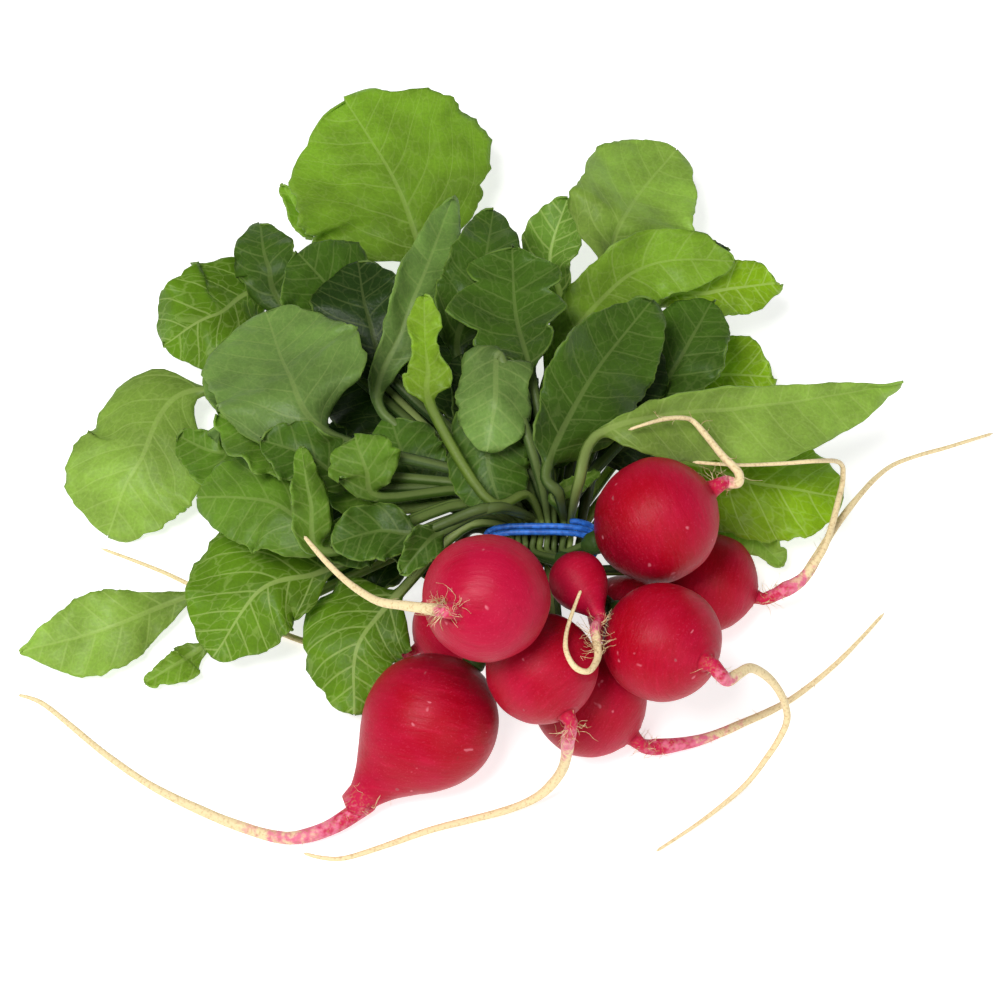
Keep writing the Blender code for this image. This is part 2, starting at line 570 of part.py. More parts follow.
def make_tube(name, points, radii, place, material, home):
    """Round tube along points, closed at both ends."""
    curve = bpy.data.curves.new(name, "CURVE")
    curve.dimensions = "3D"
    curve.bevel_depth = MM
    curve.bevel_resolution = TAIL_BEVEL
    curve.use_fill_caps = True
    spline = curve.splines.new("POLY")
    spline.points.add(len(points) - 1)
    for knot, point, radius in zip(spline.points, points, radii):
        knot.co = (*((np.asarray(point) - place) * MM), 1.0)
        knot.radius = radius
    drawing = bpy.data.objects.new(name + "_line", curve)
    drawing.location = Vector(place) * MM
    home.objects.link(drawing)
    bpy.context.view_layer.update()
    depsgraph = bpy.context.evaluated_depsgraph_get()
    mesh = bpy.data.meshes.new_from_object(drawing.evaluated_get(depsgraph))
    work = bmesh.new()
    work.from_mesh(mesh)
    bmesh.ops.remove_doubles(work, verts=work.verts, dist=1e-6)
    bmesh.ops.recalc_face_normals(work, faces=work.faces)
    work.to_mesh(mesh)
    work.free()
    tube = bpy.data.objects.new(name, mesh)
    tube.matrix_world = drawing.matrix_world
    tube.data.materials.clear()
    tube.data.materials.append(material)
    home.objects.link(tube)
    bpy.data.objects.remove(drawing)
    return tube


def make_bulb(name, plant, material, home):
    """Bulb turned about its axis, crown on top of the profile and neck at its foot."""
    _, spot, height, radius, stretch, pointing, _, _ = plant
    middle = seen(*spot, height)
    foot = POINTED_FOOT if stretch > POINTED_STRETCH else ROUND_FOOT
    profile = []
    for length, width in BULB_TOP + foot:
        down = (length - BULB_MIDDLE) * 2 * radius
        if down > 0:
            down = down * stretch
        profile.append((width * radius * MM, 0.0, -down * MM))
    mesh = bpy.data.meshes.new(name)
    mesh.from_pydata(profile, [(i, i + 1) for i in range(len(profile) - 1)], [])
    bulb = new_object(name, mesh, middle, material, home)
    turn = Vector((0.0, 0.0, -1.0)).rotation_difference(Vector(plant_axis(pointing)))
    bulb.rotation_mode = "QUATERNION"
    bulb.rotation_quaternion = turn
    screw = bulb.modifiers.new("turn", "SCREW")
    screw.axis = "Z"
    screw.steps = BULB_SIDES
    screw.render_steps = BULB_SIDES
    screw.use_merge_vertices = True
    screw.merge_threshold = 0.00001
    bpy.context.view_layer.update()
    apply_modifiers(bulb)
    face_out(bulb.data)
    return bulb


def face_out(mesh):
    """All faces turned outward and shaded smooth."""
    work = bmesh.new()
    work.from_mesh(mesh)
    bmesh.ops.recalc_face_normals(work, faces=work.faces)
    for face in work.faces:
        face.smooth = True
    work.to_mesh(mesh)
    work.free()


def tail_line(plant, tail, fork):
    """Sketch points and radii of a tail from inside the neck to its tip."""
    _, spot, height, radius, stretch, pointing, _, _ = plant
    axis = plant_axis(pointing)
    knots = []
    radii = []
    if not fork:
        for share, width in POINTED_NECK if stretch > POINTED_STRETCH else ROUND_NECK:
            place = seen(*spot, height) + axis * (share - BULB_MIDDLE) * 2 * radius * stretch
            knots.append(drawn(place))
            radii.append(width * radius)
    for x, y, tall, thick in tail:
        knots.append(np.array([x, y, tall], float))
        radii.append(thick)
    stations = np.linspace(0, len(knots) - 1, (len(knots) - 1) * TAIL_STEPS + 1)
    line = smooth_line(knots, stations)
    thickness = np.interp(stations, np.arange(len(knots)), radii)
    return line, thickness


def tail_raised(pile, line, thickness, free):
    """A tail raised clear of the leaves below it."""
    cover = widened(widened(pile))
    lift = np.zeros(len(line))
    for leg in range(free, len(line) - 1):
        share = np.linspace(0.0, 1.0, 9)[:, None]
        points = line[leg] + (line[leg + 1] - line[leg]) * share
        rows, columns = cells_of(points)
        lack = (cover[rows, columns] + thickness[leg] + TAIL_GAP - points[:, 2]).max()
        lift[leg:leg + 2] = np.maximum(lift[leg:leg + 2], lack)
    for _ in range(3):
        lift[1:] = np.maximum(lift[1:], 0.6 * lift[:-1])
        lift[:-1] = np.maximum(lift[:-1], 0.6 * lift[1:])
    lift[:free] = 0.0
    result = line.copy()
    result[:, 2] += lift
    return result


def note_tail(pile, line, thickness):
    """The pile takes in a tail that lies below the leaves."""
    for a, b, thick in zip(line[:-1], line[1:], thickness):
        count = int(np.hypot(*(b - a)[:2]) / 2.0) + 2
        points = a + (b - a) * np.linspace(0, 1, count)[:, None]
        rows, columns = cells_of(points)
        np.maximum.at(pile, (rows, columns), points[:, 2] + thick)


def make_root(plant, pile, material, home):
    """Bulb and tails as one body, cut flat where it stands on the table."""
    number, spot, height, _, _, _, _, tails = plant
    name = "root_" + number
    root = make_bulb(name, plant, material, home)
    tubes = []
    for index, tail in enumerate(tails):
        line, thickness = tail_line(plant, tail, index > 0)
        if number != "01":
            line = tail_raised(pile, line, thickness, 3)
        points = seen(line[:, 0], line[:, 1], line[:, 2])
        tube_name = name + "_tail_" + str(index)
        place = seen(*spot, height)
        tubes.append(make_tube(tube_name, points, thickness, place, material, home))
    join_solids(root, tubes, name + "_tails", home)
    if number in FLOOR_PLANTS:
        bpy.ops.mesh.primitive_cube_add(size=TABLE_SIDE, location=(0.0, 0.0, -TABLE_SIDE / 2))
        floor = bpy.context.active_object
        floor.name = name + "_floor"
        join_solids(root, [floor], name + "_cut", home, "DIFFERENCE")
    face_out(root.data)
    return root


def make_crown(name, plant, material, home):
    """Short green stub between a bulb and its petioles."""
    _, spot, height, radius, _, _, _, _ = plant
    way = crown_way(plant)
    middle = seen(*spot, height)
    start = middle + way * (radius + CROWN_GAP)
    end = start + way * CROWN_LENGTH
    size = min(CROWN_RADIUS, CROWN_SHARE * radius)
    radii = (size * CROWN_ENDS[0], size, size * CROWN_ENDS[1])
    points = (start, (start + end) / 2, end)
    return make_tube(name, points, radii, middle, material, home)


def make_top(plant, grids, material, home):
    """Leaves of one plant, their petioles and crown as one body."""
    number = plant[0]
    name = "top_" + number
    crown = make_crown(name, plant, material, home)
    origin = seen(*plant[1], plant[2])
    leaves = []
    for index, (grid, half) in enumerate(grids):
        vertices, faces = leaf_solid(grid, half)
        leaf_name = name + "_leaf_" + str(index)
        mesh = mesh_from(leaf_name, vertices, faces, origin)
        leaves.append(new_object(leaf_name, mesh, origin, material, home))
    bpy.context.view_layer.update()
    join_solids(crown, leaves, name + "_leaves", home)
    face_out(crown.data)
    return crown


def make_band(material, home):
    """Thin band wound round the petioles."""
    count = int(BAND_STEPS * BAND_TURNS) + 1
    points = []
    for step in range(count):
        turn = 2 * math.pi * step / BAND_STEPS
        x = math.copysign(abs(math.cos(turn)) ** (2 / BAND_SQUARENESS), math.cos(turn))
        z = math.copysign(abs(math.sin(turn)) ** (2 / BAND_SQUARENESS), math.sin(turn))
        y = (step / BAND_STEPS - BAND_TURNS / 2) * BAND_PITCH
        points.append(TIE + np.array([x * BAND_HALF_WIDTH, y, z * BAND_HALF_HEIGHT]))
    radii = [BAND_THICKNESS / 2] * count
    band = make_tube("band", points, radii, TIE, material, home)
    face_out(band.data)
    return band


def lay_leaves():
    """Middle surfaces of all leaves, piled from the lowest to the highest."""
    pile = np.full((CELLS, CELLS), FLOOR_GAP - PILE_GAP)
    hidden_tail, thickness = tail_line(PLANTS[0], PLANTS[0][7][0], False)
    note_tail(pile, hidden_tail, thickness)
    places = column_places()
    laid = {}
    for plant in PLANTS:
        laid[plant[0]] = [stalk_grid(plant, places)]
        stems = np.full(pile.shape, pile.min())
        for index, leaf in enumerate(LEAVES[plant[0]]):
            across, rise = places[plant[0], index]
            grid, half, stem_count = leaf_grid(plant, index, leaf, across, rise)
            risen = raised(pile, stems, drawn(grid), half, stem_count)
            laid[plant[0]].append((seen(risen[..., 0], risen[..., 1], risen[..., 2]), half))
        pile = np.maximum(pile, stems)
    return laid, pile


def main():
    for old in list(bpy.data.objects):
        bpy.data.objects.remove(old)
    home = bpy.data.collections.new("radish_bunch")
    bpy.context.scene.collection.children.link(home)
    skin = new_material("radish_skin", (0.55, 0.02, 0.06), 0.4)
    leaf = new_material("radish_leaf", (0.1, 0.28, 0.04), 0.5)
    rubber = new_material("band_rubber", (0.03, 0.12, 0.5), 0.5)
    laid, pile = lay_leaves()
    for plant in PLANTS:
        make_root(plant, pile, skin, home)
    for plant in PLANTS:
        make_top(plant, laid[plant[0]], leaf, home)
    make_band(rubber, home)


main()
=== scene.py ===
# %% [markdown]
# # A bunch of red radishes with their leaves
#
# Ten radishes are tied at their leaf stems and lie on a pale table. The imported part already has the
# right places and sizes, as solids with few faces. This lesson dresses it: every leaf gets a fine
# curved blade with veins, every root a smooth swollen body with its long tail and fine rootlets.
# We load the part first.

# %% Load the imported part
import math

import bpy
import numpy as np
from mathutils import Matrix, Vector


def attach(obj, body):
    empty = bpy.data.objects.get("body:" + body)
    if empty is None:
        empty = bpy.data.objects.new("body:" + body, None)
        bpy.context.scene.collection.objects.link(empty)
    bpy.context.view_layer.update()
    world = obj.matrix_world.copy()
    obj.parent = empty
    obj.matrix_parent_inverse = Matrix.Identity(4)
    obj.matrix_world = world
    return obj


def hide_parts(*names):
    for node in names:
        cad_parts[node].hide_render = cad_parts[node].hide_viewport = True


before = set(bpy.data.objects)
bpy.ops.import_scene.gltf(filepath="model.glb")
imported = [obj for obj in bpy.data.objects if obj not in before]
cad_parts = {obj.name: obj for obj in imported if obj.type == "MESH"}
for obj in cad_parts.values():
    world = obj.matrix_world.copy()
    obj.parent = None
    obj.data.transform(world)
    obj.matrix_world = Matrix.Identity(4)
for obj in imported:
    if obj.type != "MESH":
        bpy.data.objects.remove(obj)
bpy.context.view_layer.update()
MM = 0.001
home = bpy.context.scene.collection
print("solids in the part:", len(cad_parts))

# %% [markdown]
# ## The picture as a drawing board
#
# Leaves in a bunch overlap, and what we know of each is where it shows in the picture. So we lay
# them out on the picture itself: a place is (x, y) in quarter millimetres across and down, and a
# height above the table. `seen` follows the sight line through (x, y) to that height and gives the
# real place, and `drawn` goes the other way. A leaf can then be raised without moving in the picture.

# %% Places along the sight lines
SIGHT_SLOPE = math.radians(60.0)
SIGHT_REACH = 900.0
SKETCH_UNIT = 0.25
SKETCH_MIDDLE = 500.0
GROUND = np.array([-21.3, 62.6, 0.0])
ACROSS = np.array([1.0, 0.0, 0.0])
UPWARD = np.array([0.0, math.sin(SIGHT_SLOPE), math.cos(SIGHT_SLOPE)])
TOWARD = np.array([0.0, -math.cos(SIGHT_SLOPE), math.sin(SIGHT_SLOPE)])
EYE = GROUND + SIGHT_REACH * TOWARD


def seen(x, y, height):
    across = (np.asarray(x, float) - SKETCH_MIDDLE) * SKETCH_UNIT
    upward = (SKETCH_MIDDLE - np.asarray(y, float)) * SKETCH_UNIT
    height = np.asarray(height, float)
    plane = GROUND + across[..., None] * ACROSS + upward[..., None] * UPWARD
    share = (EYE[2] - height) / (EYE[2] - plane[..., 2])
    return EYE + share[..., None] * (plane - EYE)


def drawn(place):
    place = np.asarray(place, float)
    share = SIGHT_REACH / ((EYE - place) @ TOWARD)
    plane = EYE + share[..., None] * (place - EYE)
    x = SKETCH_MIDDLE + ((plane - GROUND) @ ACROSS) / SKETCH_UNIT
    y = SKETCH_MIDDLE - ((plane - GROUND) @ UPWARD) / SKETCH_UNIT
    return np.stack([x, y, place[..., 2]], axis=-1)


def unit(vector):
    vector = np.asarray(vector, float)
    length = np.linalg.norm(vector, axis=-1, keepdims=True)
    return vector / np.maximum(length, 1e-9)


def smooth_line(points, stations):
    points = np.asarray(points, float)
    ends = np.vstack([2 * points[0] - points[1], points, 2 * points[-1] - points[-2]])
    places = []
    for station in stations:
        leg = min(int(station), len(points) - 2)
        t = station - leg
        a, b, c, d = ends[leg:leg + 4]
        places.append(0.5 * (2 * b + (c - a) * t + (2 * a - 5 * b + 4 * c - d) * t ** 2
                             + (3 * b - a - 3 * c + d) * t ** 3))
    return np.array(places)


print("the eye stands at", EYE.round(1), "mm")

# %% [markdown]
# ## The camera
#
# The camera stands at that eye and looks down at 60 degrees. Its lens is chosen so that the width
# of the picture is 250 mm at the table, which is the drawing board of the cell above. We make it
# first, because every leaf is judged through it.

# %% Camera
SENSOR = 36.0
camera_data = bpy.data.cameras.new("camera")
camera_data.sensor_width = SENSOR
camera_data.lens = SENSOR * SIGHT_REACH / (2 * SKETCH_MIDDLE * SKETCH_UNIT)
camera_data.clip_start = 0.05
camera_data.clip_end = 20.0
camera = bpy.data.objects.new("camera", camera_data)
camera.location = Vector(EYE) * MM
camera.rotation_euler = (math.radians(90.0) - SIGHT_SLOPE, 0.0, 0.0)
home.objects.link(camera)
bpy.context.scene.camera = camera
print("lens", round(camera_data.lens, 1), "mm")

# %% [markdown]
# ## The plants
#
# Ten radish plants make the bunch. For each we note where its bulb shows, how high its middle lies,
# its radius, and which way its tail points: to the right, up the picture and toward the eye. A tail
# then follows its own places and heights, because long thin roots lie and curl as they please.

# %% Bulbs and tails
PLANTS = (
    ("01", (452.0, 628.0), 9.3, 9.7, 1.0, (-0.85, -0.5, 0.0), 0, (
        ((395, 655, 3.0, 1.2), (300, 640, 1.3, 0.8), (220, 600, 1.1, 0.6), (163, 572, 0.9, 0.5),
         (100, 548, 0.7, 0.35)),
    )),
    ("02", (431.0, 721.0), 15.7, 16.1, 1.12, (-0.67, -0.74, 0.0), 0, (
        ((366, 803, 5.0, 2.3), (333, 826, 3.4, 1.8), (290, 838, 2.2, 1.5), (245, 828, 1.7, 1.3),
         (200, 810, 1.5, 1.1), (150, 785, 1.3, 0.9), (100, 750, 1.1, 0.8), (45, 705, 0.8, 0.6),
         (18, 695, 0.6, 0.35)),
    )),
    ("03", (589.5, 699.5), 13.3, 13.7, 1.0, (0.75, -0.66, 0.0), 0, (
        ((655, 747, 4.2, 1.8), (700, 740, 2.4, 1.3), (745, 722, 1.6, 1.0), (790, 700, 1.2, 0.8),
         (840, 660, 0.9, 0.6), (885, 612, 0.6, 0.35)),
    )),
    ("04", (625.0, 612.0), 8.7, 9.1, 1.0, (0.7, -0.7, 0.0), 0, (
        ((672, 650, 3.0, 1.1), (690, 656, 1.6, 0.8), (712, 660, 0.8, 0.4)),
    )),
    ("05", (709.0, 582.0), 11.5, 11.9, 1.0, (0.95, -0.3, 0.0), 0, (
        ((786, 589, 12.0, 1.8), (806, 575, 12.5, 1.4), (830, 535, 12.5, 0.95), (860, 495, 10.0, 0.8),
         (893, 465, 6.0, 0.6), (945, 448, 3.0, 0.5), (994, 433, 1.5, 0.35)),
        ((800, 581, 12.5, 1.2), (824, 548, 15.5, 0.85), (838, 502, 16.5, 0.75), (843, 474, 16.5, 0.65),
         (835, 461, 16.5, 0.55), (790, 463, 16.0, 0.5), (740, 465, 15.0, 0.45), (692, 462, 15.0, 0.4)),
    )),
    ("06", (541.5, 668.0), 37.5, 13.0, 1.0, (0.45, -0.82, 0.36), 1, (
        ((568, 740, 27.0, 1.5), (563, 768, 13.0, 1.3), (540, 795, 4.5, 1.1), (500, 812, 2.2, 0.95),
         (430, 830, 1.4, 0.8), (345, 858, 1.0, 0.6), (303, 853, 0.7, 0.35)),
    )),
    ("07", (662.0, 642.0), 37.5, 13.9, 1.0, (0.7, -0.31, 0.64), 1, (
        ((728, 680, 40.0, 1.5), (750, 668, 36.0, 1.2), (775, 685, 26.0, 1.0), (787, 720, 14.0, 0.85),
         (765, 760, 6.0, 0.7), (740, 790, 2.4, 0.6), (700, 822, 1.2, 0.5), (655, 852, 0.6, 0.35)),
    )),
    ("08", (487.0, 597.0), 61.5, 14.5, 1.0, (-0.5, -0.17, 0.85), 2, (
        ((430, 609, 69.5, 1.3), (400, 605, 65.0, 1.05), (375, 600, 61.0, 0.9), (345, 580, 57.0, 0.8),
         (320, 555, 55.0, 0.65), (304, 536, 54.0, 0.4)),
    )),
    ("09", (578.0, 580.0), 42.0, 6.8, 1.25, (0.4, -0.7, 0.5), 2, (
        ((595, 630, 46.0, 1.1), (598, 655, 48.0, 0.85), (589, 671, 50.5, 0.75), (575, 667, 52.0, 0.65),
         (566, 650, 52.5, 0.6), (567, 630, 52.0, 0.5), (574, 608, 52.5, 0.4), (581, 590, 53.0, 0.35)),
    )),
    ("10", (656.5, 521.0), 43.0, 14.8, 1.0, (0.87, 0.5, 0.0), 2, (
        ((727, 482, 46.5, 1.4), (738, 483, 47.0, 1.15), (738, 472, 47.5, 1.0), (721, 454, 48.0, 0.9),
         (697, 425, 47.0, 0.7), (684, 418, 46.0, 0.6), (660, 420, 45.0, 0.5), (628, 430, 44.0, 0.35)),
    )),
)

print(len(PLANTS), "bulbs with", sum(len(plant[7]) for plant in PLANTS), "tails")

# %% [markdown]
# ## The leaves
#
# A leaf is noted as the line of its midrib over the picture, with heights, the width of the blade on
# both sides, how far each edge curls up, and how lobed and wavy it is. The leaves of a plant are
# listed from the lowest to the highest, and so are the plants, because that is how they lie.

# %% Blades
OUTLINES = {
    "round": (0.1, 0.5, 0.8, 0.95, 1.0, 0.98, 0.88, 0.64, 0.16),
    "oval": (0.1, 0.6, 0.92, 1.0, 0.97, 0.86, 0.68, 0.42, 0.08),
    "spoon": (0.1, 0.32, 0.55, 0.78, 0.94, 1.0, 0.94, 0.7, 0.16),
    "young": (0.12, 0.8, 1.0, 0.78, 0.55, 0.56, 0.7, 0.56, 0.14),
    "sword": (0.12, 0.36, 0.62, 0.86, 1.0, 0.97, 0.8, 0.5, 0.08),
    "broad": (0.5, 0.86, 0.97, 1.0, 1.0, 0.96, 0.86, 0.66, 0.26),
    "strap": (0.14, 0.5, 0.8, 0.94, 1.0, 1.0, 0.93, 0.74, 0.24),
}

LEAVES = {
    "01": (
        ("oval", ((415, 548, 9), (365, 552, 10), (300, 566, 8)), (40, 36), (-2, -2), 0.05, 1.5),
        ("sword", ((205, 592, 6), (110, 628, 7), (20, 652, 1)), (42, 38), (-2, 3), 0.03, 1.2),
        ("oval", ((218, 640, 4), (180, 662, 4), (145, 683, 3)), (20, 14), (1, 1), 0.02, 0.5),
        ("round", ((212, 392, 13), (137, 465, 13), (108, 535, 2)), (68, 62), (-3, -3), 0.03, 1.5),
        ("oval", ((262, 445, 14), (218, 452, 17), (178, 436, 14)), (38, 26), (3, 3), 0.06, 1.5),
        ("round", ((420, 486, 12), (350, 474, 15), (272, 472, 12)), (54, 58), (3, -3), 0.05, 1.5),
        ("round", ((280, 440, 14), (236, 385, 20), (222, 322, 18)), (30, 34), (3, -2), 0.06, 1.5),
        ("oval", ((448, 560, 9), (414, 552, 10), (372, 526, 10)), (22, 26), (2, -2), 0.05, 1.2),
    ),
    "02": (
        ("oval", ((335, 255, 12), (305, 222, 16), (281, 184, 18)), (13, 15), (2, 2), 0.08, 1.0),
        ("round", ((430, 275, 12), (396, 185, 20), (344, 100, 22)), (106, 98), (4, -4), 0.05, 2.0),
        ("round", ((290, 305, 12), (215, 315, 13), (162, 345, 3)), (56, 54), (-3, 3), 0.04, 1.5),
        ("round", ((300, 325, 14), (268, 265, 20), (260, 224, 20)), (32, 32), (-3, 4), 0.05, 1.5),
        ("round", ((440, 440, 14), (392, 392, 17), (340, 352, 16)), (66, 50), (-3, 3), 0.05, 1.5),
    ),
    "03": (
        ("round", ((516, 440, 13), (470, 372, 16), (440, 318, 16)), (46, 46), (3, -2), 0.05, 1.5),
        ("spoon", ((562, 318, 13), (550, 258, 20), (568, 198, 26)), (30, 26), (3, 4), 0.07, 1.5),
        ("round", ((604, 275, 12), (630, 208, 16), (676, 150, 16)), (62, 66), (-3, -3), 0.04, 1.5),
        ("round", ((566, 430, 13), (586, 372, 16), (612, 318, 14)), (40, 42), (3, -2), 0.05, 1.5),
    ),
    "04": (
        ("oval", ((655, 300, 12), (695, 256, 14), (728, 252, 12)), (17, 17), (2, 2), 0.05, 1.0),
        ("strap", ((648, 314, 14), (712, 292, 17), (779, 283, 14)), (30, 28), (4, -4), 0.03, 1.5),
        ("round", ((655, 415, 13), (712, 378, 16), (774, 378, 12)), (44, 38), (3, -3), 0.05, 1.5),
    ),
    "05": (
        ("oval", ((690, 492, 7), (742, 528, 8), (784, 566, 5)), (28, 20), (4, 1), 0.06, 1.2),
        ("round", ((655, 458, 10), (760, 485, 12), (844, 497, 8)), (54, 56), (-3, -3), 0.04, 2.0),
        ("oval", ((598, 464, 11), (645, 440, 12), (700, 424, 11)), (28, 24), (2, -2), 0.05, 1.2),
    ),
    "06": (
        ("oval", ((402, 590, 16), (358, 645, 14), (354, 714, 8)), (46, 58), (-2, -4), 0.07, 2.0),
        ("round", ((336, 568, 20), (262, 590, 22), (212, 658, 12)), (50, 68), (-4, -3), 0.05, 2.0),
        ("round", ((408, 540, 22), (366, 538, 26), (326, 556, 24)), (28, 30), (2, 3), 0.06, 1.2),
        ("round", ((378, 360, 20), (332, 292, 26), (298, 252, 24)), (52, 50), (4, -3), 0.05, 1.5),
        ("round", ((398, 385, 22), (368, 315, 28), (358, 262, 26)), (54, 50), (-3, 4), 0.05, 1.5),
        ("strap", ((382, 412, 24), (402, 330, 32), (428, 264, 38), (453, 196, 36)), (22, 24), (5, -3),
         0.04, 1.5),
        ("round", ((452, 508, 24), (410, 468, 28), (390, 418, 28)), (40, 42), (-3, 3), 0.06, 1.5),
        ("round", ((402, 508, 24), (360, 486, 27), (318, 452, 27)), (34, 34), (3, -3), 0.06, 1.5),
    ),
    "07": (
        ("round", ((458, 360, 22), (480, 285, 26), (494, 210, 28)), (40, 38), (4, -3), 0.06, 1.5),
        ("strap", ((546, 388, 24), (590, 312, 28), (650, 264, 30), (734, 261, 27)), (34, 38), (4, -4),
         0.03, 1.5),
        ("round", ((640, 420, 24), (684, 352, 26), (712, 300, 24)), (42, 40), (-3, 3), 0.06, 1.5),
        ("round", ((580, 440, 24), (622, 392, 27), (660, 350, 26)), (34, 36), (3, -3), 0.06, 1.5),
        ("oval", ((502, 436, 24), (480, 400, 28), (460, 356, 28)), (32, 34), (3, -3), 0.06, 1.5),
        ("oval", ((544, 470, 24), (560, 424, 28), (568, 366, 28)), (36, 30), (3, -3), 0.06, 1.5),
    ),
    "08": (
        ("round", ((345, 540, 32), (270, 502, 36), (198, 498, 30)), (50, 44), (-4, -3), 0.05, 1.5),
        ("round", ((326, 470, 30), (268, 440, 34), (218, 414, 32)), (34, 34), (4, 5), 0.12, 2.0),
        ("round", ((330, 436, 32), (288, 372, 40), (266, 312, 38)), (82, 78), (-5, 4), 0.03, 1.2),
        ("round", ((360, 486, 34), (308, 456, 40), (262, 440, 38)), (30, 32), (4, 4), 0.12, 2.0),
        ("oval", ((328, 552, 38), (311, 500, 44), (301, 446, 44)), (19, 19), (3, -3), 0.04, 1.0),
        ("spoon", ((380, 498, 36), (366, 470, 41), (354, 437, 42)), (36, 36), (1, 1), 0.1, 0.6),
    ),
    "09": (
        ("oval", ((518, 445, 38), (512, 388, 42), (506, 348, 42)), (24, 26), (2, 2), 0.16, 1.2),
        ("spoon", ((532, 378, 38), (516, 315, 42), (512, 246, 42)), (58, 48), (3, 4), 0.22, 1.5),
        ("broad", ((496, 420, 44), (488, 462, 44), (502, 512, 40)), (42, 40), (-3, -3), 0.03, 1.0),
        ("broad", ((500, 356, 44), (495, 404, 48), (487, 452, 47)), (36, 37), (-4, -3), 0.05, 1.2),
        ("young", ((432, 408, 46), (428, 370, 50), (425, 335, 52), (424, 295, 54)), (26, 25), (2, 2),
         0.05, 0.8),
        ("round", ((422, 532, 36), (378, 532, 40), (330, 546, 40)), (28, 30), (2, 3), 0.06, 1.2),
        ("oval", ((444, 530, 36), (424, 546, 38), (400, 574, 36)), (18, 20), (3, 3), 0.05, 1.0),
    ),
    "10": (
        ("oval", ((553, 497, 33), (574, 486, 35), (600, 472, 34)), (10, 10), (1, 1), 0.03, 0.3),
        ("round", ((546, 468, 34), (590, 380, 42), (652, 300, 42)), (42, 56), (6, -6), 0.04, 2.0),
        ("sword", ((596, 436, 32), (665, 415, 34), (780, 404, 31), (903, 384, 24)), (20, 58), (3, -4),
         0.04, 2.0),
    ),
}

DETOURS = {
    ("09", 4): (488, 500, 38),
}

print(sum(len(leaves) for leaves in LEAVES.values()), "leaves")

# %% [markdown]
# ## Through the tie
#
# All the leaf stalks pass through one band in three rows. Each stalk gets its own column there, in
# the order in which the leaves fan out, so that no two of them cross inside the band.

# %% Columns at the tie
TIE = np.array([-11.5, 35.4, 25.5])
ROW_PITCH = 4.0
ROW_SPREAD = 3.0
COLUMN_PITCH = 1.6
PLANT_GAP = 0.7
TIE_HALF_LENGTH = 4.5
LEAD_LENGTH = 13.0
SHORT_LEAD = 6.0
LEAD_SHARE = 0.4
LEAD_LEAN = 0.45
LEAD_STATION = 2
PETIOLE_AT_TIE = 0.72
PETIOLE_RADIUS = 1.25
BLADE_HALF = 0.34
STEM_LANE = 0.87
STEM_FULLNESS = 0.85


def column_places():
    places = {}
    for row in range(3):
        members = [plant for plant in PLANTS if plant[6] == row]
        columns = [(len(LEAVES[plant[0]]) + 1) // 2 for plant in members]
        total = sum(columns) * COLUMN_PITCH + (len(members) - 1) * PLANT_GAP
        left = -total / 2
        for plant, count in zip(members, columns):
            leaves = LEAVES[plant[0]]
            tie_x, tie_y, _ = drawn(TIE)
            heading = [math.atan2(leaf[1][0][0] - tie_x, tie_y - leaf[1][0][1]) for leaf in leaves]
            order = sorted(range(len(leaves)), key=lambda index: heading[index])
            for column in range(count):
                pair = sorted(order[2 * column:2 * column + 2])
                across = left + (column + 0.5) * COLUMN_PITCH
                for level, index in enumerate(pair):
                    rise = (row - 1) * ROW_PITCH + (level - 0.5) * COLUMN_PITCH
                    places[plant[0], index] = (across, rise)
            left += count * COLUMN_PITCH + PLANT_GAP
    return places


COLUMNS = column_places()
print(len(COLUMNS), "stalks pass the tie")

# %% [markdown]
# ## The middle line of a leaf
#
# From the tie a stalk leads off toward its blade, then runs on as the midrib. `leaf_route` lists the
# places it passes. Counting those places gives a "station" along the leaf: whole numbers are the
# listed places, and everything between them is found on the smooth line through them.

# %% Route of a stalk and midrib


def leaf_route(plant, index):
    number, row = plant[0], plant[6]
    across, rise = COLUMNS[number, index]
    line = LEAVES[number][index][1]
    inside = TIE + np.array([across, 0.0, rise])
    leave = TIE + np.array([across, TIE_HALF_LENGTH, rise])
    base = seen(*line[0])
    away = unit((base - leave) * np.array([1.0, 1.0, 0.0]))
    longest = SHORT_LEAD if (number, index) in DETOURS else LEAD_LENGTH
    lead_length = min(longest, LEAD_SHARE * np.linalg.norm(base - leave))
    lead = leave + lead_length * unit(away + np.array([0.0, LEAD_LEAN, 0.0]))
    lead[2] = leave[2] + (row - 1) * ROW_SPREAD
    route = [drawn(inside), drawn(leave), drawn(lead)]
    if (number, index) in DETOURS:
        route.append(np.array(DETOURS[number, index], float))
    return route + [np.array(point, float) for point in line]


print("the first leaf passes", len(leaf_route(PLANTS[0], 0)), "places")

# %% [markdown]
# ## Laying the pile
#
# Before the fine blades we lay coarse ones, the same that the solids were made from. A map of cells
# keeps how high the pile stands. Each leaf starts at its noted height and is raised, corner by
# corner, until it clears the map, and then the map takes it in. The raise of each corner is what the
# fine blade needs: it is spread smoothly over it later.

# %% Coarse blade
CELL = 2.0
CELLS = 520
PILE_GAP = 0.7
TAIL_GAP = 0.6
FLOOR_GAP = 0.2
SPREAD = 1
BLADE_STATIONS = 8
SMALL_BLADE_STATIONS = 7
YOUNG_BLADE_STATIONS = 5
SMALL_BLADE = 58.0
YOUNG_BLADE = 40.0
EDGE_CURVE = 1.4
# A raised corner takes its neighbours with it, less far along the leaf than across it.
RISE_ALONG = 0.6
RISE_ACROSS = 0.8


def widest(outline, share):
    knots = np.linspace(0.0, 1.0, len(outline))
    return np.interp(share, knots, outline)


def swelling(share):
    return np.sin(0.9 * math.pi * np.minimum(1.1 * share, 1.0)) ** 0.8


def waves_at(share, lane, index):
    return lane ** 2 * np.sin(2 * math.pi * (2.0 * share + 0.25 * lane + 0.3 * index))


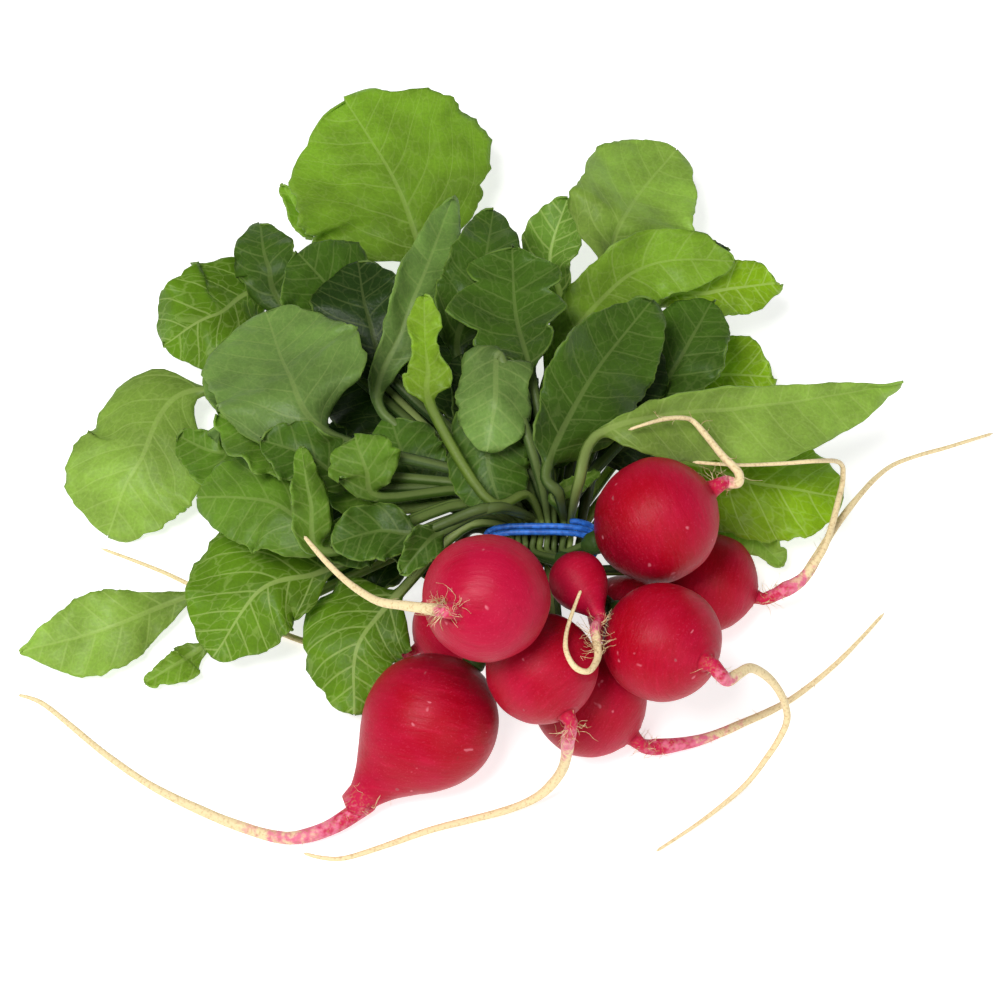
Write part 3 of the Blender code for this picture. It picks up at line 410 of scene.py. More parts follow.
def coarse_blade(plant, index):
    outline, line, halves, lifts, lobe, wave = LEAVES[plant[0]][index]
    route = leaf_route(plant, index)
    first = len(route) - len(line)
    stem_stations = list(range(first)) + [first - 0.5]
    small = max(halves) <= SMALL_BLADE
    lanes = np.array([-1.0, 0.0, 1.0]) if small else np.array([-1.0, -0.5, 0.0, 0.5, 1.0])
    blade_stations = SMALL_BLADE_STATIONS if small else BLADE_STATIONS
    if max(halves) <= YOUNG_BLADE and len(line) < 4:
        blade_stations = YOUNG_BLADE_STATIONS
    shares = np.linspace(0.0, 1.0, blade_stations)
    stations = stem_stations + [first + share * (len(line) - 1) for share in shares]
    spine = smooth_line(route, stations)
    step = 0.02
    before = smooth_line(route, [max(station - step, 0.0) for station in stations])
    after = smooth_line(route, [min(station + step, len(route) - 1.0) for station in stations])
    stem_count = len(stem_stations)
    grid = np.zeros((len(stations), len(lanes), 3))
    half = np.zeros((len(stations), len(lanes)))
    stem_lane = lanes * STEM_LANE
    stem_half = np.sqrt(1.0 - stem_lane ** 2) * STEM_FULLNESS
    for i in range(len(stations)):
        if i < stem_count:
            tangent = unit(seen(*after[i]) - seen(*before[i]))
            side = unit(np.cross(tangent, (0.0, 0.0, 1.0)))
            size = PETIOLE_AT_TIE if i < LEAD_STATION else PETIOLE_RADIUS
            grid[i] = seen(*spine[i]) + side * (stem_lane * size)[:, None]
            half[i] = stem_half * size
            continue
        share = shares[i - stem_count]
        heading = unit((after[i] - before[i])[:2])
        right = np.array([-heading[1], heading[0]])
        width = np.where(lanes < 0, halves[0], halves[1]) * widest(OUTLINES[outline], share)
        width = width * (1.0 + lobe * math.cos((blade_stations - 1) * math.pi * share))
        width = np.maximum(width, PETIOLE_RADIUS / SKETCH_UNIT * (1 - share))
        edge = np.where(lanes < 0, lifts[0], lifts[1]) * np.abs(lanes) ** EDGE_CURVE
        bent = (edge + wave * waves_at(share, lanes, index)) * swelling(share)
        places = spine[i][:2] + right * (lanes * width)[:, None]
        grid[i] = seen(places[:, 0], places[:, 1], spine[i][2] + bent)
        rib = BLADE_HALF + (PETIOLE_RADIUS * STEM_FULLNESS - BLADE_HALF) * (1 - share) ** 2
        half[i] = np.where(np.abs(lanes) < 0.1, rib, BLADE_HALF)
        if share == 0.0:
            half[i] = stem_half * PETIOLE_RADIUS
    return grid, half, stem_count, np.array(stations), lanes


# %% Raising a blade over the pile


def patch_points(sketch, half):
    rows, lanes = half.shape
    points = []
    owners = []
    for i in range(rows - 1):
        for j in range(lanes - 1):
            corners = sketch[i:i + 2, j:j + 2]
            reach = max(np.ptp(corners[..., 0]), np.ptp(corners[..., 1]), CELL)
            count = int(reach / (0.8 * CELL)) + 2
            u, v = np.meshgrid(np.linspace(0, 1, count), np.linspace(0, 1, count))
            u = u.ravel()[:, None]
            v = v.ravel()[:, None]
            spread = ((1 - u) * (1 - v) * corners[0, 0] + (1 - u) * v * corners[0, 1]
                      + u * (1 - v) * corners[1, 0] + u * v * corners[1, 1])
            depth = half[i:i + 2, j:j + 2].max()
            points.append(np.column_stack([spread, np.full(len(spread), depth), u[:, 0]]))
            owners.append(np.tile([i, j], (len(spread), 1)))
    return np.vstack(points), np.vstack(owners)


def cells_of(points):
    column = np.clip((points[:, 0] / CELL).astype(int), 0, CELLS - 1)
    line = np.clip((points[:, 1] / CELL).astype(int), 0, CELLS - 1)
    return line, column


def widened(pile):
    result = pile.copy()
    for axis in (0, 1):
        source = result.copy()
        for shift in range(-SPREAD, SPREAD + 1):
            result = np.maximum(result, np.roll(source, shift, axis=axis))
    return result


def lift_over(pile, stems, sketch, half, blade_from):
    cover = widened(pile)
    lift = np.zeros(half.shape)
    reach = np.where(np.arange(half.shape[0]) < LEAD_STATION, 0.0, 1.0)
    for _ in range(4):
        risen = sketch.copy()
        risen[..., 2] += lift
        points, owners = patch_points(risen, half)
        line, column = cells_of(points)
        short = cover[line, column] + PILE_GAP + points[:, 3] - points[:, 2]
        short = np.where(owners[:, 0] < LEAD_STATION, short * points[:, 4], short)
        lacking = (short > 0.0) & (owners[:, 0] + 1 >= LEAD_STATION)
        wanted = lift.copy()
        for corner in ((0, 0), (0, 1), (1, 0), (1, 1)):
            i, j = (owners[lacking] + corner).T
            np.maximum.at(wanted, (i, j), (lift[i, j] + short[lacking]) * reach[i])
        lift = wanted
        for _ in range(2):
            lift[1:] = np.maximum(lift[1:], RISE_ALONG * lift[:-1] * reach[1:, None])
            lift[:-1] = np.maximum(lift[:-1], RISE_ALONG * lift[1:] * reach[:-1, None])
            lift[:, 1:] = np.maximum(lift[:, 1:], RISE_ACROSS * lift[:, :-1])
            lift[:, :-1] = np.maximum(lift[:, :-1], RISE_ACROSS * lift[:, 1:])
    risen = sketch.copy()
    risen[..., 2] += lift
    points, owners = patch_points(risen, half)
    line, column = cells_of(points)
    tall = points[:, 2] + points[:, 3]
    blade = owners[:, 0] >= blade_from
    np.maximum.at(pile, (line[blade], column[blade]), tall[blade])
    np.maximum.at(stems, (line[~blade], column[~blade]), tall[~blade])
    return lift


# %% [markdown]
# ## Tails as lines
#
# A tail starts on the axis of its bulb and follows its noted places. Where it crosses leaves it is
# raised over the pile in the same way, and the one tail that runs under the leaves is put into the
# pile first.

# %% Lines of the tails
POINTED_STRETCH = 1.05
ROUND_NECK = ((0.94, 0.15), (1.08, 0.1))
POINTED_NECK = ((1.05, 0.19), (1.2, 0.155))
BULB_MIDDLE = 0.5
TAIL_STEPS = 2
TAIL_PROBES = 9


def plant_axis(pointing):
    right, up, toward = pointing
    return unit(right * ACROSS + up * UPWARD + toward * TOWARD)


def tail_line(plant, tail, fork):
    _, spot, height, radius, stretch, pointing, _, _ = plant
    axis = plant_axis(pointing)
    knots = []
    radii = []
    if not fork:
        for share, width in POINTED_NECK if stretch > POINTED_STRETCH else ROUND_NECK:
            place = seen(*spot, height) + axis * (share - BULB_MIDDLE) * 2 * radius * stretch
            knots.append(drawn(place))
            radii.append(width * radius)
    for x, y, tall, thick in tail:
        knots.append(np.array([x, y, tall], float))
        radii.append(thick)
    stations = np.linspace(0, len(knots) - 1, (len(knots) - 1) * TAIL_STEPS + 1)
    line = smooth_line(knots, stations)
    thickness = np.interp(stations, np.arange(len(knots)), radii)
    return line, thickness


def tail_raised(pile, line, thickness, free):
    cover = widened(widened(pile))
    lift = np.zeros(len(line))
    for leg in range(free, len(line) - 1):
        share = np.linspace(0.0, 1.0, TAIL_PROBES)[:, None]
        points = line[leg] + (line[leg + 1] - line[leg]) * share
        rows, columns = cells_of(points)
        lack = (cover[rows, columns] + thickness[leg] + TAIL_GAP - points[:, 2]).max()
        lift[leg:leg + 2] = np.maximum(lift[leg:leg + 2], lack)
    for _ in range(3):
        lift[1:] = np.maximum(lift[1:], RISE_ALONG * lift[:-1])
        lift[:-1] = np.maximum(lift[:-1], RISE_ALONG * lift[1:])
    lift[:free] = 0.0
    result = line.copy()
    result[:, 2] += lift
    return result


# %% Lay everything once, coarsely
pile = np.full((CELLS, CELLS), FLOOR_GAP - PILE_GAP)
under_line, under_thickness = tail_line(PLANTS[0], PLANTS[0][7][0], False)
for a, b, thick in zip(under_line[:-1], under_line[1:], under_thickness):
    count = int(np.hypot(*(b - a)[:2]) / 2.0) + 2
    points = a + (b - a) * np.linspace(0, 1, count)[:, None]
    rows, columns = cells_of(points)
    np.maximum.at(pile, (rows, columns), points[:, 2] + thick)

laid = {}
for plant in PLANTS:
    stems = np.full(pile.shape, pile.min())
    for index in range(len(LEAVES[plant[0]])):
        grid, half, stem_count, stations, lanes = coarse_blade(plant, index)
        lift = lift_over(pile, stems, drawn(grid), half, stem_count)
        laid[plant[0], index] = (stations, lanes, lift)
    pile = np.maximum(pile, stems)
print("the pile stands", round(float(pile.max()), 1), "mm high")

# %% [markdown]
# ## Colours and nodes
#
# Colours are noted as they are seen on a screen, and one function turns them to the linear values
# that light is reckoned with. One more function adds a node, sets it and links it, for shaders and
# for Geometry Nodes alike. Where a node is given in place of a number, its first open output is
# linked. Two settings come back all the time: a soft step from one value to another, and a mix of
# two colours.

# %% Helpers for materials and trees
SOFT_STEP = {"interpolation_type": "SMOOTHSTEP"}
COLOUR_MIX = {"data_type": "RGBA", "clamp_factor": True}


def linear(hex_colour):
    values = [int(hex_colour[i:i + 2], 16) / 255 for i in (1, 3, 5)]
    return [value / 12.92 if value <= 0.04045 else ((value + 0.055) / 1.055) ** 2.4 for value in values]


def rgba(hex_colour):
    return (*linear(hex_colour), 1.0)


def add_node(tree, kind, settings=None, inputs=None):
    node = tree.nodes.new(kind)
    for name, value in (settings or {}).items():
        setattr(node, name, value)
    for socket, value in (inputs or {}).items():
        if isinstance(value, bpy.types.Node):
            value = next(output for output in value.outputs if output.enabled)
        if isinstance(value, bpy.types.NodeSocket):
            tree.links.new(value, node.inputs[socket])
        else:
            node.inputs[socket].default_value = value
    return node


def new_material(name):
    material = bpy.data.materials.new(name)
    material.use_nodes = True
    material.node_tree.nodes.clear()
    return material, material.node_tree


print("leaf green as light:", [round(value, 3) for value in linear("#7C9E2E")])

# %% [markdown]
# ## Material: living leaf
#
# A radish leaf is a thin blade of wet green tissue under a waxy skin. The wax gives a broad, soft
# shine (roughness near 0.45, IOR 1.45), and light from behind comes through yellow-green, so a
# Translucent shader is mixed in. The veins are not painted by hand: each blade carries its own
# measures, the distance from the midrib in millimetres and a running count of side veins, and the
# shader turns those into a pale midrib 1.6 mm wide, side veins of 0.5 mm and a net of 3 mm meshes.
#
# First the veins. Each kind is a distance in millimetres, divided by half the width of the vein, and
# a soft step from 1 on the vein to 0 beside it.

# %% Veins of the leaf material


def leaf_veins(tree, count, across, share, spacing):
    # Midrib: full width at the stalk, a third of it at the tip.
    away = add_node(tree, "ShaderNodeMath", {"operation": "ABSOLUTE"}, {0: across})
    rib_width = add_node(tree, "ShaderNodeMapRange", SOFT_STEP, {
        "Value": share, "From Min": 0.0, "From Max": 1.0, "To Min": 0.95, "To Max": 0.3})
    rib_off = add_node(tree, "ShaderNodeMath", {"operation": "DIVIDE"}, {0: away, 1: rib_width})
    midrib = add_node(tree, "ShaderNodeMapRange", SOFT_STEP, {
        "Value": rib_off, "From Min": 0.55, "From Max": 1.0, "To Min": 1.0, "To Max": 0.0})

    # Side veins: lines of whole count, half a count apart on the two sides.
    half_count = add_node(tree, "ShaderNodeMapRange", SOFT_STEP, {
        "Value": across, "From Min": -0.01, "From Max": 0.01, "To Min": 0.0, "To Max": 0.5})
    shifted = add_node(tree, "ShaderNodeMath", {"operation": "ADD"}, {0: count, 1: half_count})
    to_vein = add_node(tree, "ShaderNodeMath", {"operation": "PINGPONG"}, {0: shifted, 1: 0.5})
    side_off = add_node(tree, "ShaderNodeMath", {"operation": "MULTIPLY"}, {0: to_vein, 1: spacing})
    side_width = add_node(tree, "ShaderNodeMapRange", SOFT_STEP, {
        "Value": away, "From Min": 0.0, "From Max": 22.0, "To Min": 0.42, "To Max": 0.16})
    side_off = add_node(tree, "ShaderNodeMath", {"operation": "DIVIDE"}, {0: side_off, 1: side_width})
    side_line = add_node(tree, "ShaderNodeMapRange", SOFT_STEP, {
        "Value": side_off, "From Min": 0.3, "From Max": 1.0, "To Min": 1.0, "To Max": 0.0})
    on_blade = add_node(tree, "ShaderNodeMapRange", SOFT_STEP, {
        "Value": share, "From Min": -0.02, "From Max": 0.06, "To Min": 0.0, "To Max": 0.85})
    side_vein = add_node(tree, "ShaderNodeMath", {"operation": "MULTIPLY"}, {0: side_line, 1: on_blade})

    # The net between them: borders of shaken cells.
    counted = add_node(tree, "ShaderNodeMath", {"operation": "MULTIPLY"}, {0: count, 1: spacing})
    sheet_place = add_node(tree, "ShaderNodeCombineXYZ", {}, {0: counted, 1: across, 2: spacing})
    shake = add_node(tree, "ShaderNodeTexNoise", {}, {"Vector": sheet_place, "Scale": 0.35, "Detail": 2.0})
    shaken = add_node(tree, "ShaderNodeVectorMath", {"operation": "MULTIPLY_ADD"},
                      {0: shake.outputs["Color"], 1: (2.4, 2.4, 0.0), 2: sheet_place})
    net = add_node(tree, "ShaderNodeTexVoronoi", {"feature": "DISTANCE_TO_EDGE"},
                   {"Vector": shaken, "Scale": 0.3})
    net_line = add_node(tree, "ShaderNodeMapRange", SOFT_STEP, {
        "Value": net, "From Min": 0.015, "From Max": 0.075, "To Min": 1.0, "To Max": 0.0})
    net_share = add_node(tree, "ShaderNodeMapRange", SOFT_STEP, {
        "Value": share, "From Min": 0.0, "From Max": 0.1, "To Min": 0.0, "To Max": 0.4})
    net_vein = add_node(tree, "ShaderNodeMath", {"operation": "MULTIPLY"}, {0: net_line, 1: net_share})

    small_veins = add_node(tree, "ShaderNodeMath", {"operation": "MAXIMUM"}, {0: side_vein, 1: net_vein})
    return add_node(tree, "ShaderNodeMath", {"operation": "MAXIMUM"}, {0: midrib, 1: small_veins})


# %% [markdown]
# Now the tissue. It is blotched over a centimetre and grained over half a millimetre, and paler underneath.
# Toward the stalk it is darkened as painted shade among the stalks, and at the rim it is lightened as a
# painted glow of light through the thin edge. The veins then go on as one more layer.

# %% The leaf material


def make_leaf_material():
    material, tree = new_material("radish_leaf_living")
    object_place = add_node(tree, "ShaderNodeTexCoord").outputs["Object"]
    place = add_node(tree, "ShaderNodeAttribute", {"attribute_name": "vein_place"})
    count, across, share = add_node(tree, "ShaderNodeSeparateXYZ", {}, {0: place.outputs["Vector"]}).outputs
    span = add_node(tree, "ShaderNodeAttribute", {"attribute_name": "vein_span"})
    spacing, rim, upper = add_node(tree, "ShaderNodeSeparateXYZ", {}, {0: span.outputs["Vector"]}).outputs
    tint = add_node(tree, "ShaderNodeAttribute", {"attribute_name": "leaf_tint"})
    veins = add_node(tree, "ShaderNodeMath", {"operation": "MULTIPLY"}, {
        0: leaf_veins(tree, count, across, share, spacing), 1: tint.outputs["Alpha"]})

    blotch, grain = [add_node(tree, "ShaderNodeTexNoise", {}, {
        "Vector": object_place, "Scale": scale, "Detail": detail})
        for scale, detail in ((90.0, 3.0), (1400.0, 2.0))]
    blotched = add_node(tree, "ShaderNodeMapRange", SOFT_STEP, {
        "Value": blotch, "From Min": 0.3, "From Max": 0.7, "To Min": 0.84, "To Max": 1.14})
    grained = add_node(tree, "ShaderNodeMapRange", SOFT_STEP, {
        "Value": grain, "From Min": 0.3, "From Max": 0.7, "To Min": -0.07, "To Max": 0.07})
    # Painted shade: the leaf gets darker toward the stalk and crown, where the bunch is shaded.
    shade_toward_stalk = add_node(tree, "ShaderNodeMapRange", SOFT_STEP, {
        "Value": share, "From Min": -0.5, "From Max": 0.9, "To Min": 0.42, "To Max": 1.12})
    shade = add_node(tree, "ShaderNodeMath", {"operation": "ADD"}, {0: blotched, 1: grained})
    shade = add_node(tree, "ShaderNodeMath", {"operation": "MULTIPLY"}, {0: shade, 1: shade_toward_stalk})
    tissue = add_node(tree, "ShaderNodeHueSaturation", {}, {"Color": tint.outputs["Color"], "Value": shade})

    # Layers: value, from, to, strength there and there, colour. Underside first, then the stalk, whose dark
    # green is partly the stalk's own colour and partly painted shade.
    for value, low, high, start, end, colour in ((upper, 0.4, 0.6, 0.3, 0.0, "#9DB782"),
                                                 (share, -0.02, 0.1, 0.3, 0.0, "#3E5A28")):
        strength = add_node(tree, "ShaderNodeMapRange", SOFT_STEP, {
            "Value": value, "From Min": low, "From Max": high, "To Min": start, "To Max": end})
        tissue = add_node(tree, "ShaderNodeMix", COLOUR_MIX, {0: strength, 6: tissue, 7: rgba(colour)})
    pale = add_node(tree, "ShaderNodeMix", COLOUR_MIX, {0: 0.5, 6: tissue, 7: rgba("#C3D283")})
    tissue = add_node(tree, "ShaderNodeMix", COLOUR_MIX, {0: veins, 6: tissue, 7: pale})
    # Painted light: a paler rim, where light glows through the thin edge.
    rim_glow = add_node(tree, "ShaderNodeMapRange", SOFT_STEP, {
        "Value": rim, "From Min": 0.955, "From Max": 1.0, "To Min": 0.0, "To Max": 0.4})
    tissue = add_node(tree, "ShaderNodeMix", COLOUR_MIX, {0: rim_glow, 6: tissue, 7: rgba("#8FAE4C")})

    bump = add_node(tree, "ShaderNodeBump", {}, {"Height": grain, "Strength": 0.35, "Distance": 0.0003})
    wax = add_node(tree, "ShaderNodeMapRange", SOFT_STEP, {
        "Value": blotch, "From Min": 0.3, "From Max": 0.7, "To Min": 0.5, "To Max": 0.4})
    surface = add_node(tree, "ShaderNodeBsdfPrincipled", {}, {
        "Base Color": tissue, "Roughness": wax, "IOR": 1.45, "Specular IOR Level": 0.25, "Normal": bump})
    through = add_node(tree, "ShaderNodeMix", {**COLOUR_MIX, "blend_type": "MULTIPLY"},
                       {0: 1.0, 6: tissue, 7: rgba("#E6F05A")})
    through = add_node(tree, "ShaderNodeHueSaturation", {}, {"Color": through, "Value": 2.0,
                                                             "Saturation": 1.05})
    glow = add_node(tree, "ShaderNodeBsdfTranslucent", {}, {"Color": through})
    leaf = add_node(tree, "ShaderNodeMixShader", {}, {0: 0.32, 1: surface, 2: glow})
    add_node(tree, "ShaderNodeOutputMaterial", {}, {0: leaf})
    return material


LEAF = make_leaf_material()
print("material", LEAF.name, "with", len(LEAF.node_tree.nodes), "nodes")

# %% [markdown]
# ## Material: radish skin
#
# The skin of a radish is a taut film over crisp white flesh: crimson, smooth and a little shiny
# (roughness near 0.45, IOR 1.36, close to water). Fine streaks run round the bulb and break the
# shine up. The colour is never even: darker at the crown, pinker clouds a centimetre wide, pale
# scratches of 1 to 2 mm where it was rubbed, and brown specks. Past the neck it runs out in pink
# streaks to the cream of the thin root. Each root carries how far along its axis a point is, and how
# far down the tail.
#
# The skin is built in layers: each row names a pattern, where its soft step begins and ends, how
# strong the layer is there and there, and its colour.

# %% Layers of the skin


def laid_over(tree, colour_below, layers):
    for value, low, high, start, end, colour in layers:
        strength = add_node(tree, "ShaderNodeMapRange", SOFT_STEP, {
            "Value": value, "From Min": low, "From Max": high, "To Min": start, "To Max": end})
        colour_below = add_node(tree, "ShaderNodeMix", COLOUR_MIX, {
            0: strength, 6: colour_below, 7: rgba(colour)})
    return colour_below


def skin_colour(tree, object_place, along, cloud, fibre, pore):
    # Crimson with pinker clouds; the blush of some bulbs and the foot add to the pink.
    blush = add_node(tree, "ShaderNodeAttribute", {"attribute_name": "blush"}).outputs["Fac"]
    clouded = add_node(tree, "ShaderNodeMapRange", SOFT_STEP, {
        "Value": cloud, "From Min": 0.35, "From Max": 0.7, "To Min": 0.0, "To Max": 0.55})
    foot = add_node(tree, "ShaderNodeMapRange", SOFT_STEP, {
        "Value": along, "From Min": 0.45, "From Max": 1.0, "To Min": 0.0, "To Max": 0.3})
    pink = add_node(tree, "ShaderNodeMath", {"operation": "MULTIPLY_ADD"}, {0: blush, 1: 0.55, 2: clouded})
    pink = add_node(tree, "ShaderNodeMath", {"operation": "ADD"}, {0: pink, 1: foot})
    skin = add_node(tree, "ShaderNodeMix", COLOUR_MIX, {0: pink, 6: rgba("#A00218"), 7: rgba("#AE0C34")})
    skin = laid_over(tree, skin, ((along, 0.0, 0.45, 0.75, 0.0, "#6E0010"),
                                  (fibre, 0.5, 0.74, 0.0, 0.28, "#C81A40"),
                                  (fibre, 0.26, 0.48, 0.28, 0.0, "#7C0012")))

    # Scratches and specks: bent cells 4 mm wide, of which chance picks some.
    warp = add_node(tree, "ShaderNodeTexNoise", {}, {"Vector": object_place, "Scale": 300.0, "Detail": 1.0})
    bent = add_node(tree, "ShaderNodeVectorMath", {"operation": "MULTIPLY_ADD"},
                    {0: warp.outputs["Color"], 1: (0.004, 0.004, 0.004), 2: object_place})
    nick = add_node(tree, "ShaderNodeTexVoronoi", {}, {"Vector": bent, "Scale": 230.0, "Randomness": 1.0})
    spot = add_node(tree, "ShaderNodeMapRange", SOFT_STEP, {
        "Value": nick, "From Min": 0.05, "From Max": 0.16, "To Min": 1.0, "To Max": 0.0})
    chance = add_node(tree, "ShaderNodeSeparateXYZ", {}, {0: nick.outputs["Color"]}).outputs
    for draw, low, high, strength, colour in ((chance[0], 0.5, 0.56, 0.45, "#E78C9B"),
                                              (chance[1], 0.86, 0.9, 0.6, "#5E2A1E")):
        picked = add_node(tree, "ShaderNodeMapRange", SOFT_STEP, {
            "Value": draw, "From Min": low, "From Max": high, "To Min": 0.0, "To Max": strength})
        picked = add_node(tree, "ShaderNodeMath", {"operation": "MULTIPLY"}, {0: spot, 1: picked})
        skin = add_node(tree, "ShaderNodeMix", COLOUR_MIX, {0: picked, 6: skin, 7: rgba(colour)})
    return laid_over(tree, skin, ((pore, 0.55, 0.8, 0.0, 0.2, "#D9506E"),))


def tail_colour(tree, object_place):
    # Past the neck: pink, then cream, in streaks, with brown rings.
    tail = add_node(tree, "ShaderNodeAttribute", {"attribute_name": "tail"}).outputs["Fac"]
    streak, ring = [add_node(tree, "ShaderNodeTexNoise", {}, {
        "Vector": object_place, "Scale": scale, "Detail": 3.0}) for scale in (520.0, 1500.0)]
    uneven = add_node(tree, "ShaderNodeMapRange", SOFT_STEP, {
        "Value": streak, "From Min": 0.3, "From Max": 0.7, "To Min": -0.35, "To Max": 0.35})
    run = add_node(tree, "ShaderNodeMath", {"operation": "ADD"}, {0: tail, 1: uneven})
    return laid_over(tree, rgba("#BC1E46"), ((run, 0.1, 0.7, 0.0, 1.0, "#DA708C"),
                                             (run, 0.7, 1.4, 0.0, 1.0, "#E6D2A4"),
                                             (ring, 0.48, 0.72, 0.0, 0.5, "#B08A58")))


# %% The skin material


def make_skin_material():
    material, tree = new_material("radish_skin_fresh")
    object_place = add_node(tree, "ShaderNodeTexCoord").outputs["Object"]
    along = add_node(tree, "ShaderNodeAttribute", {"attribute_name": "along"}).outputs["Fac"]
    cloud, pore = [add_node(tree, "ShaderNodeTexNoise", {}, {
        "Vector": object_place, "Scale": scale, "Detail": detail})
        for scale, detail in ((85.0, 4.0), (2200.0, 2.0))]

    # Streaks round the bulb: noise that changes fast along the axis and slowly around it.
    lengthwise = add_node(tree, "ShaderNodeMath", {"operation": "MULTIPLY"}, {0: along, 1: 26.0})
    lengthwise = add_node(tree, "ShaderNodeCombineXYZ", {}, {0: lengthwise})
    round_place = add_node(tree, "ShaderNodeVectorMath", {"operation": "MULTIPLY_ADD"},
                           {0: object_place, 1: (330.0, 330.0, 330.0), 2: lengthwise})
    fibre = add_node(tree, "ShaderNodeTexNoise", {}, {"Vector": round_place, "Scale": 1.0, "Detail": 4.0,
                                                      "Roughness": 0.7})

    past_neck = add_node(tree, "ShaderNodeMapRange", SOFT_STEP, {
        "Value": along, "From Min": 1.04, "From Max": 1.15, "To Min": 0.0, "To Max": 1.0})
    colour = add_node(tree, "ShaderNodeMix", COLOUR_MIX, {
        0: past_neck, 6: skin_colour(tree, object_place, along, cloud, fibre, pore),
        7: tail_colour(tree, object_place)})
    shine = add_node(tree, "ShaderNodeMapRange", SOFT_STEP, {
        "Value": cloud, "From Min": 0.3, "From Max": 0.7, "To Min": 0.36, "To Max": 0.5})
    bump = add_node(tree, "ShaderNodeBump", {}, {"Height": fibre, "Strength": 0.35, "Distance": 0.0006})
    surface = add_node(tree, "ShaderNodeBsdfPrincipled", {}, {
        "Base Color": colour, "Roughness": shine, "IOR": 1.36, "Specular IOR Level": 0.22, "Normal": bump})
    add_node(tree, "ShaderNodeOutputMaterial", {}, {0: surface})
    return material


SKIN = make_skin_material()
print("material", SKIN.name, "with", len(SKIN.node_tree.nodes), "nodes")

# %% [markdown]
# ## Materials: rootlets and band
#
# Rootlets are dry threads of cream root fibre, dull and slightly darker in places. The tie is a
# coloured rubber band, cut from moulded rubber tube: matt, with a fine powdery grain.

# %% Rootlet and band materials


def make_dull_material(name, light, dark, scale, roughness, ior):
    material, tree = new_material(name)
    object_place = add_node(tree, "ShaderNodeTexCoord").outputs["Object"]
    cloud = add_node(tree, "ShaderNodeTexNoise", {}, {"Vector": object_place, "Scale": scale, "Detail": 3.0})
    colour = laid_over(tree, rgba(light), ((cloud, 0.35, 0.65, 0.0, 1.0, dark),))
    bump = add_node(tree, "ShaderNodeBump", {}, {"Height": cloud, "Strength": 0.4, "Distance": 0.0002})
    surface = add_node(tree, "ShaderNodeBsdfPrincipled", {}, {
        "Base Color": colour, "Roughness": roughness, "IOR": ior, "Normal": bump})
    add_node(tree, "ShaderNodeOutputMaterial", {}, {0: surface})
    return material


FIBRE = make_dull_material("root_fibre_dry", "#E0CDA2", "#B08C5A", 700.0, 0.7, 1.45)
RUBBER = make_dull_material("band_rubber_blue", "#2C72D2", "#1A52A8", 900.0, 0.5, 1.52)
print("materials", FIBRE.name, "and", RUBBER.name)

# %% [markdown]
# ## The fine blade
#
# Now each leaf gets its real surface: a sheet of up to about 90 by 45 places, closed to a thin solid.
# It starts at the crown of its bulb as a round stalk 2.5 mm thick, passes the tie, and opens into
# the blade, where the stalk goes on as a rib under the midrib. Between the side veins the tissue
# bulges up by a few tenths of a millimetre, which is what makes a radish leaf look quilted, and the
# rim is scalloped and wavy. The function `ripple` gives smooth chance unevenness that is the same at
# every run.

# %% Measures of a real leaf
BLADE_THICK = 0.5
RIB_DEPTH = 1.0
RIB_WIDTH = 1.1
GROOVE_DEPTH = 0.25
QUILT = 0.42
UNEVEN = 0.7
UNEVEN_SIZE = 7.0
PUCKER = 0.22
PUCKER_SIZE = 2.6
FRILL = 0.9
FRILLS = 5.3
CROOKED = 0.05
LOBES = 3.25
TEETH = ((0.018, 9.0, 0.37), (0.012, 21.0, 0.11))
OPENING = 0.14
VEIN_PITCH = 6.5
FULL_LENGTH = 45.0
TIP_ROUND = 0.86
TIP_FULLNESS = {"sword": 0.24, "young": 0.45}
FULLNESS = 0.52
CROWN_GAP = 0.35
CROWN_TURN = 1.5
CROWN_LENGTH = 4.2
CROWN_CROWDING = 0.28
STALK_AT_CROWN = 1.35
STALK_BEFORE_TIE = 1.0

# Colour of each leaf look, and how strongly its veins stand out. Most looks are painted light and
# shade: the paler ones stand for sky light falling on a leaf, the yellow ones for table light shining
# through it, the darker ones for shade deep in the bunch, and the grey one for a painted sheen. Only
# the young and veined looks are the leaf's own colour.
LEAF_COLOURS = {
    "lit": ("#7C9E2E", 0.5), "pale": ("#8EAA4A", 0.55), "mid": ("#668A2A", 0.4), "shaded_deep": ("#48681E", 0.3),
    "dark": ("#263E12", 0.2), "grey_sheen": ("#739248", 0.35), "young": ("#86A82C", 0.35),
    "backlit_yellow": ("#84A41C", 1.0), "backlit": ("#62861A", 0.9), "veined": ("#6C8C36", 1.0),
}


def ripple(a, b, seed):
    chance = np.random.default_rng(seed)
    total = np.zeros(np.broadcast(a, b).shape)
    for size in (1.0, 0.6, 0.35):
        angle = chance.uniform(0.0, 2 * math.pi)
        start = chance.uniform(0.0, 2 * math.pi)
        total += size * np.sin((a * math.cos(angle) + b * math.sin(angle)) / size + start)
    return total / 1.95


def smooth_step(value, low, high):
    t = np.clip((value - low) / (high - low), 0.0, 1.0)
    return t * t * (3.0 - 2.0 * t)


def softened(values, reach):
    if reach < 1:
        return values
    kernel = np.hanning(2 * reach + 3)[1:-1]
    kernel /= kernel.sum()
    padded = np.pad(values, ((reach, reach), (0, 0)), mode="edge")
    return np.stack([np.convolve(column, kernel, mode="valid") for column in padded.T], axis=1)


# %% Stations and lanes of one leaf


def crown_way(plant):
    _, spot, height, _, _, pointing, _, _ = plant
    return unit(CROWN_TURN * unit(TIE - seen(*spot, height)) - plant_axis(pointing))


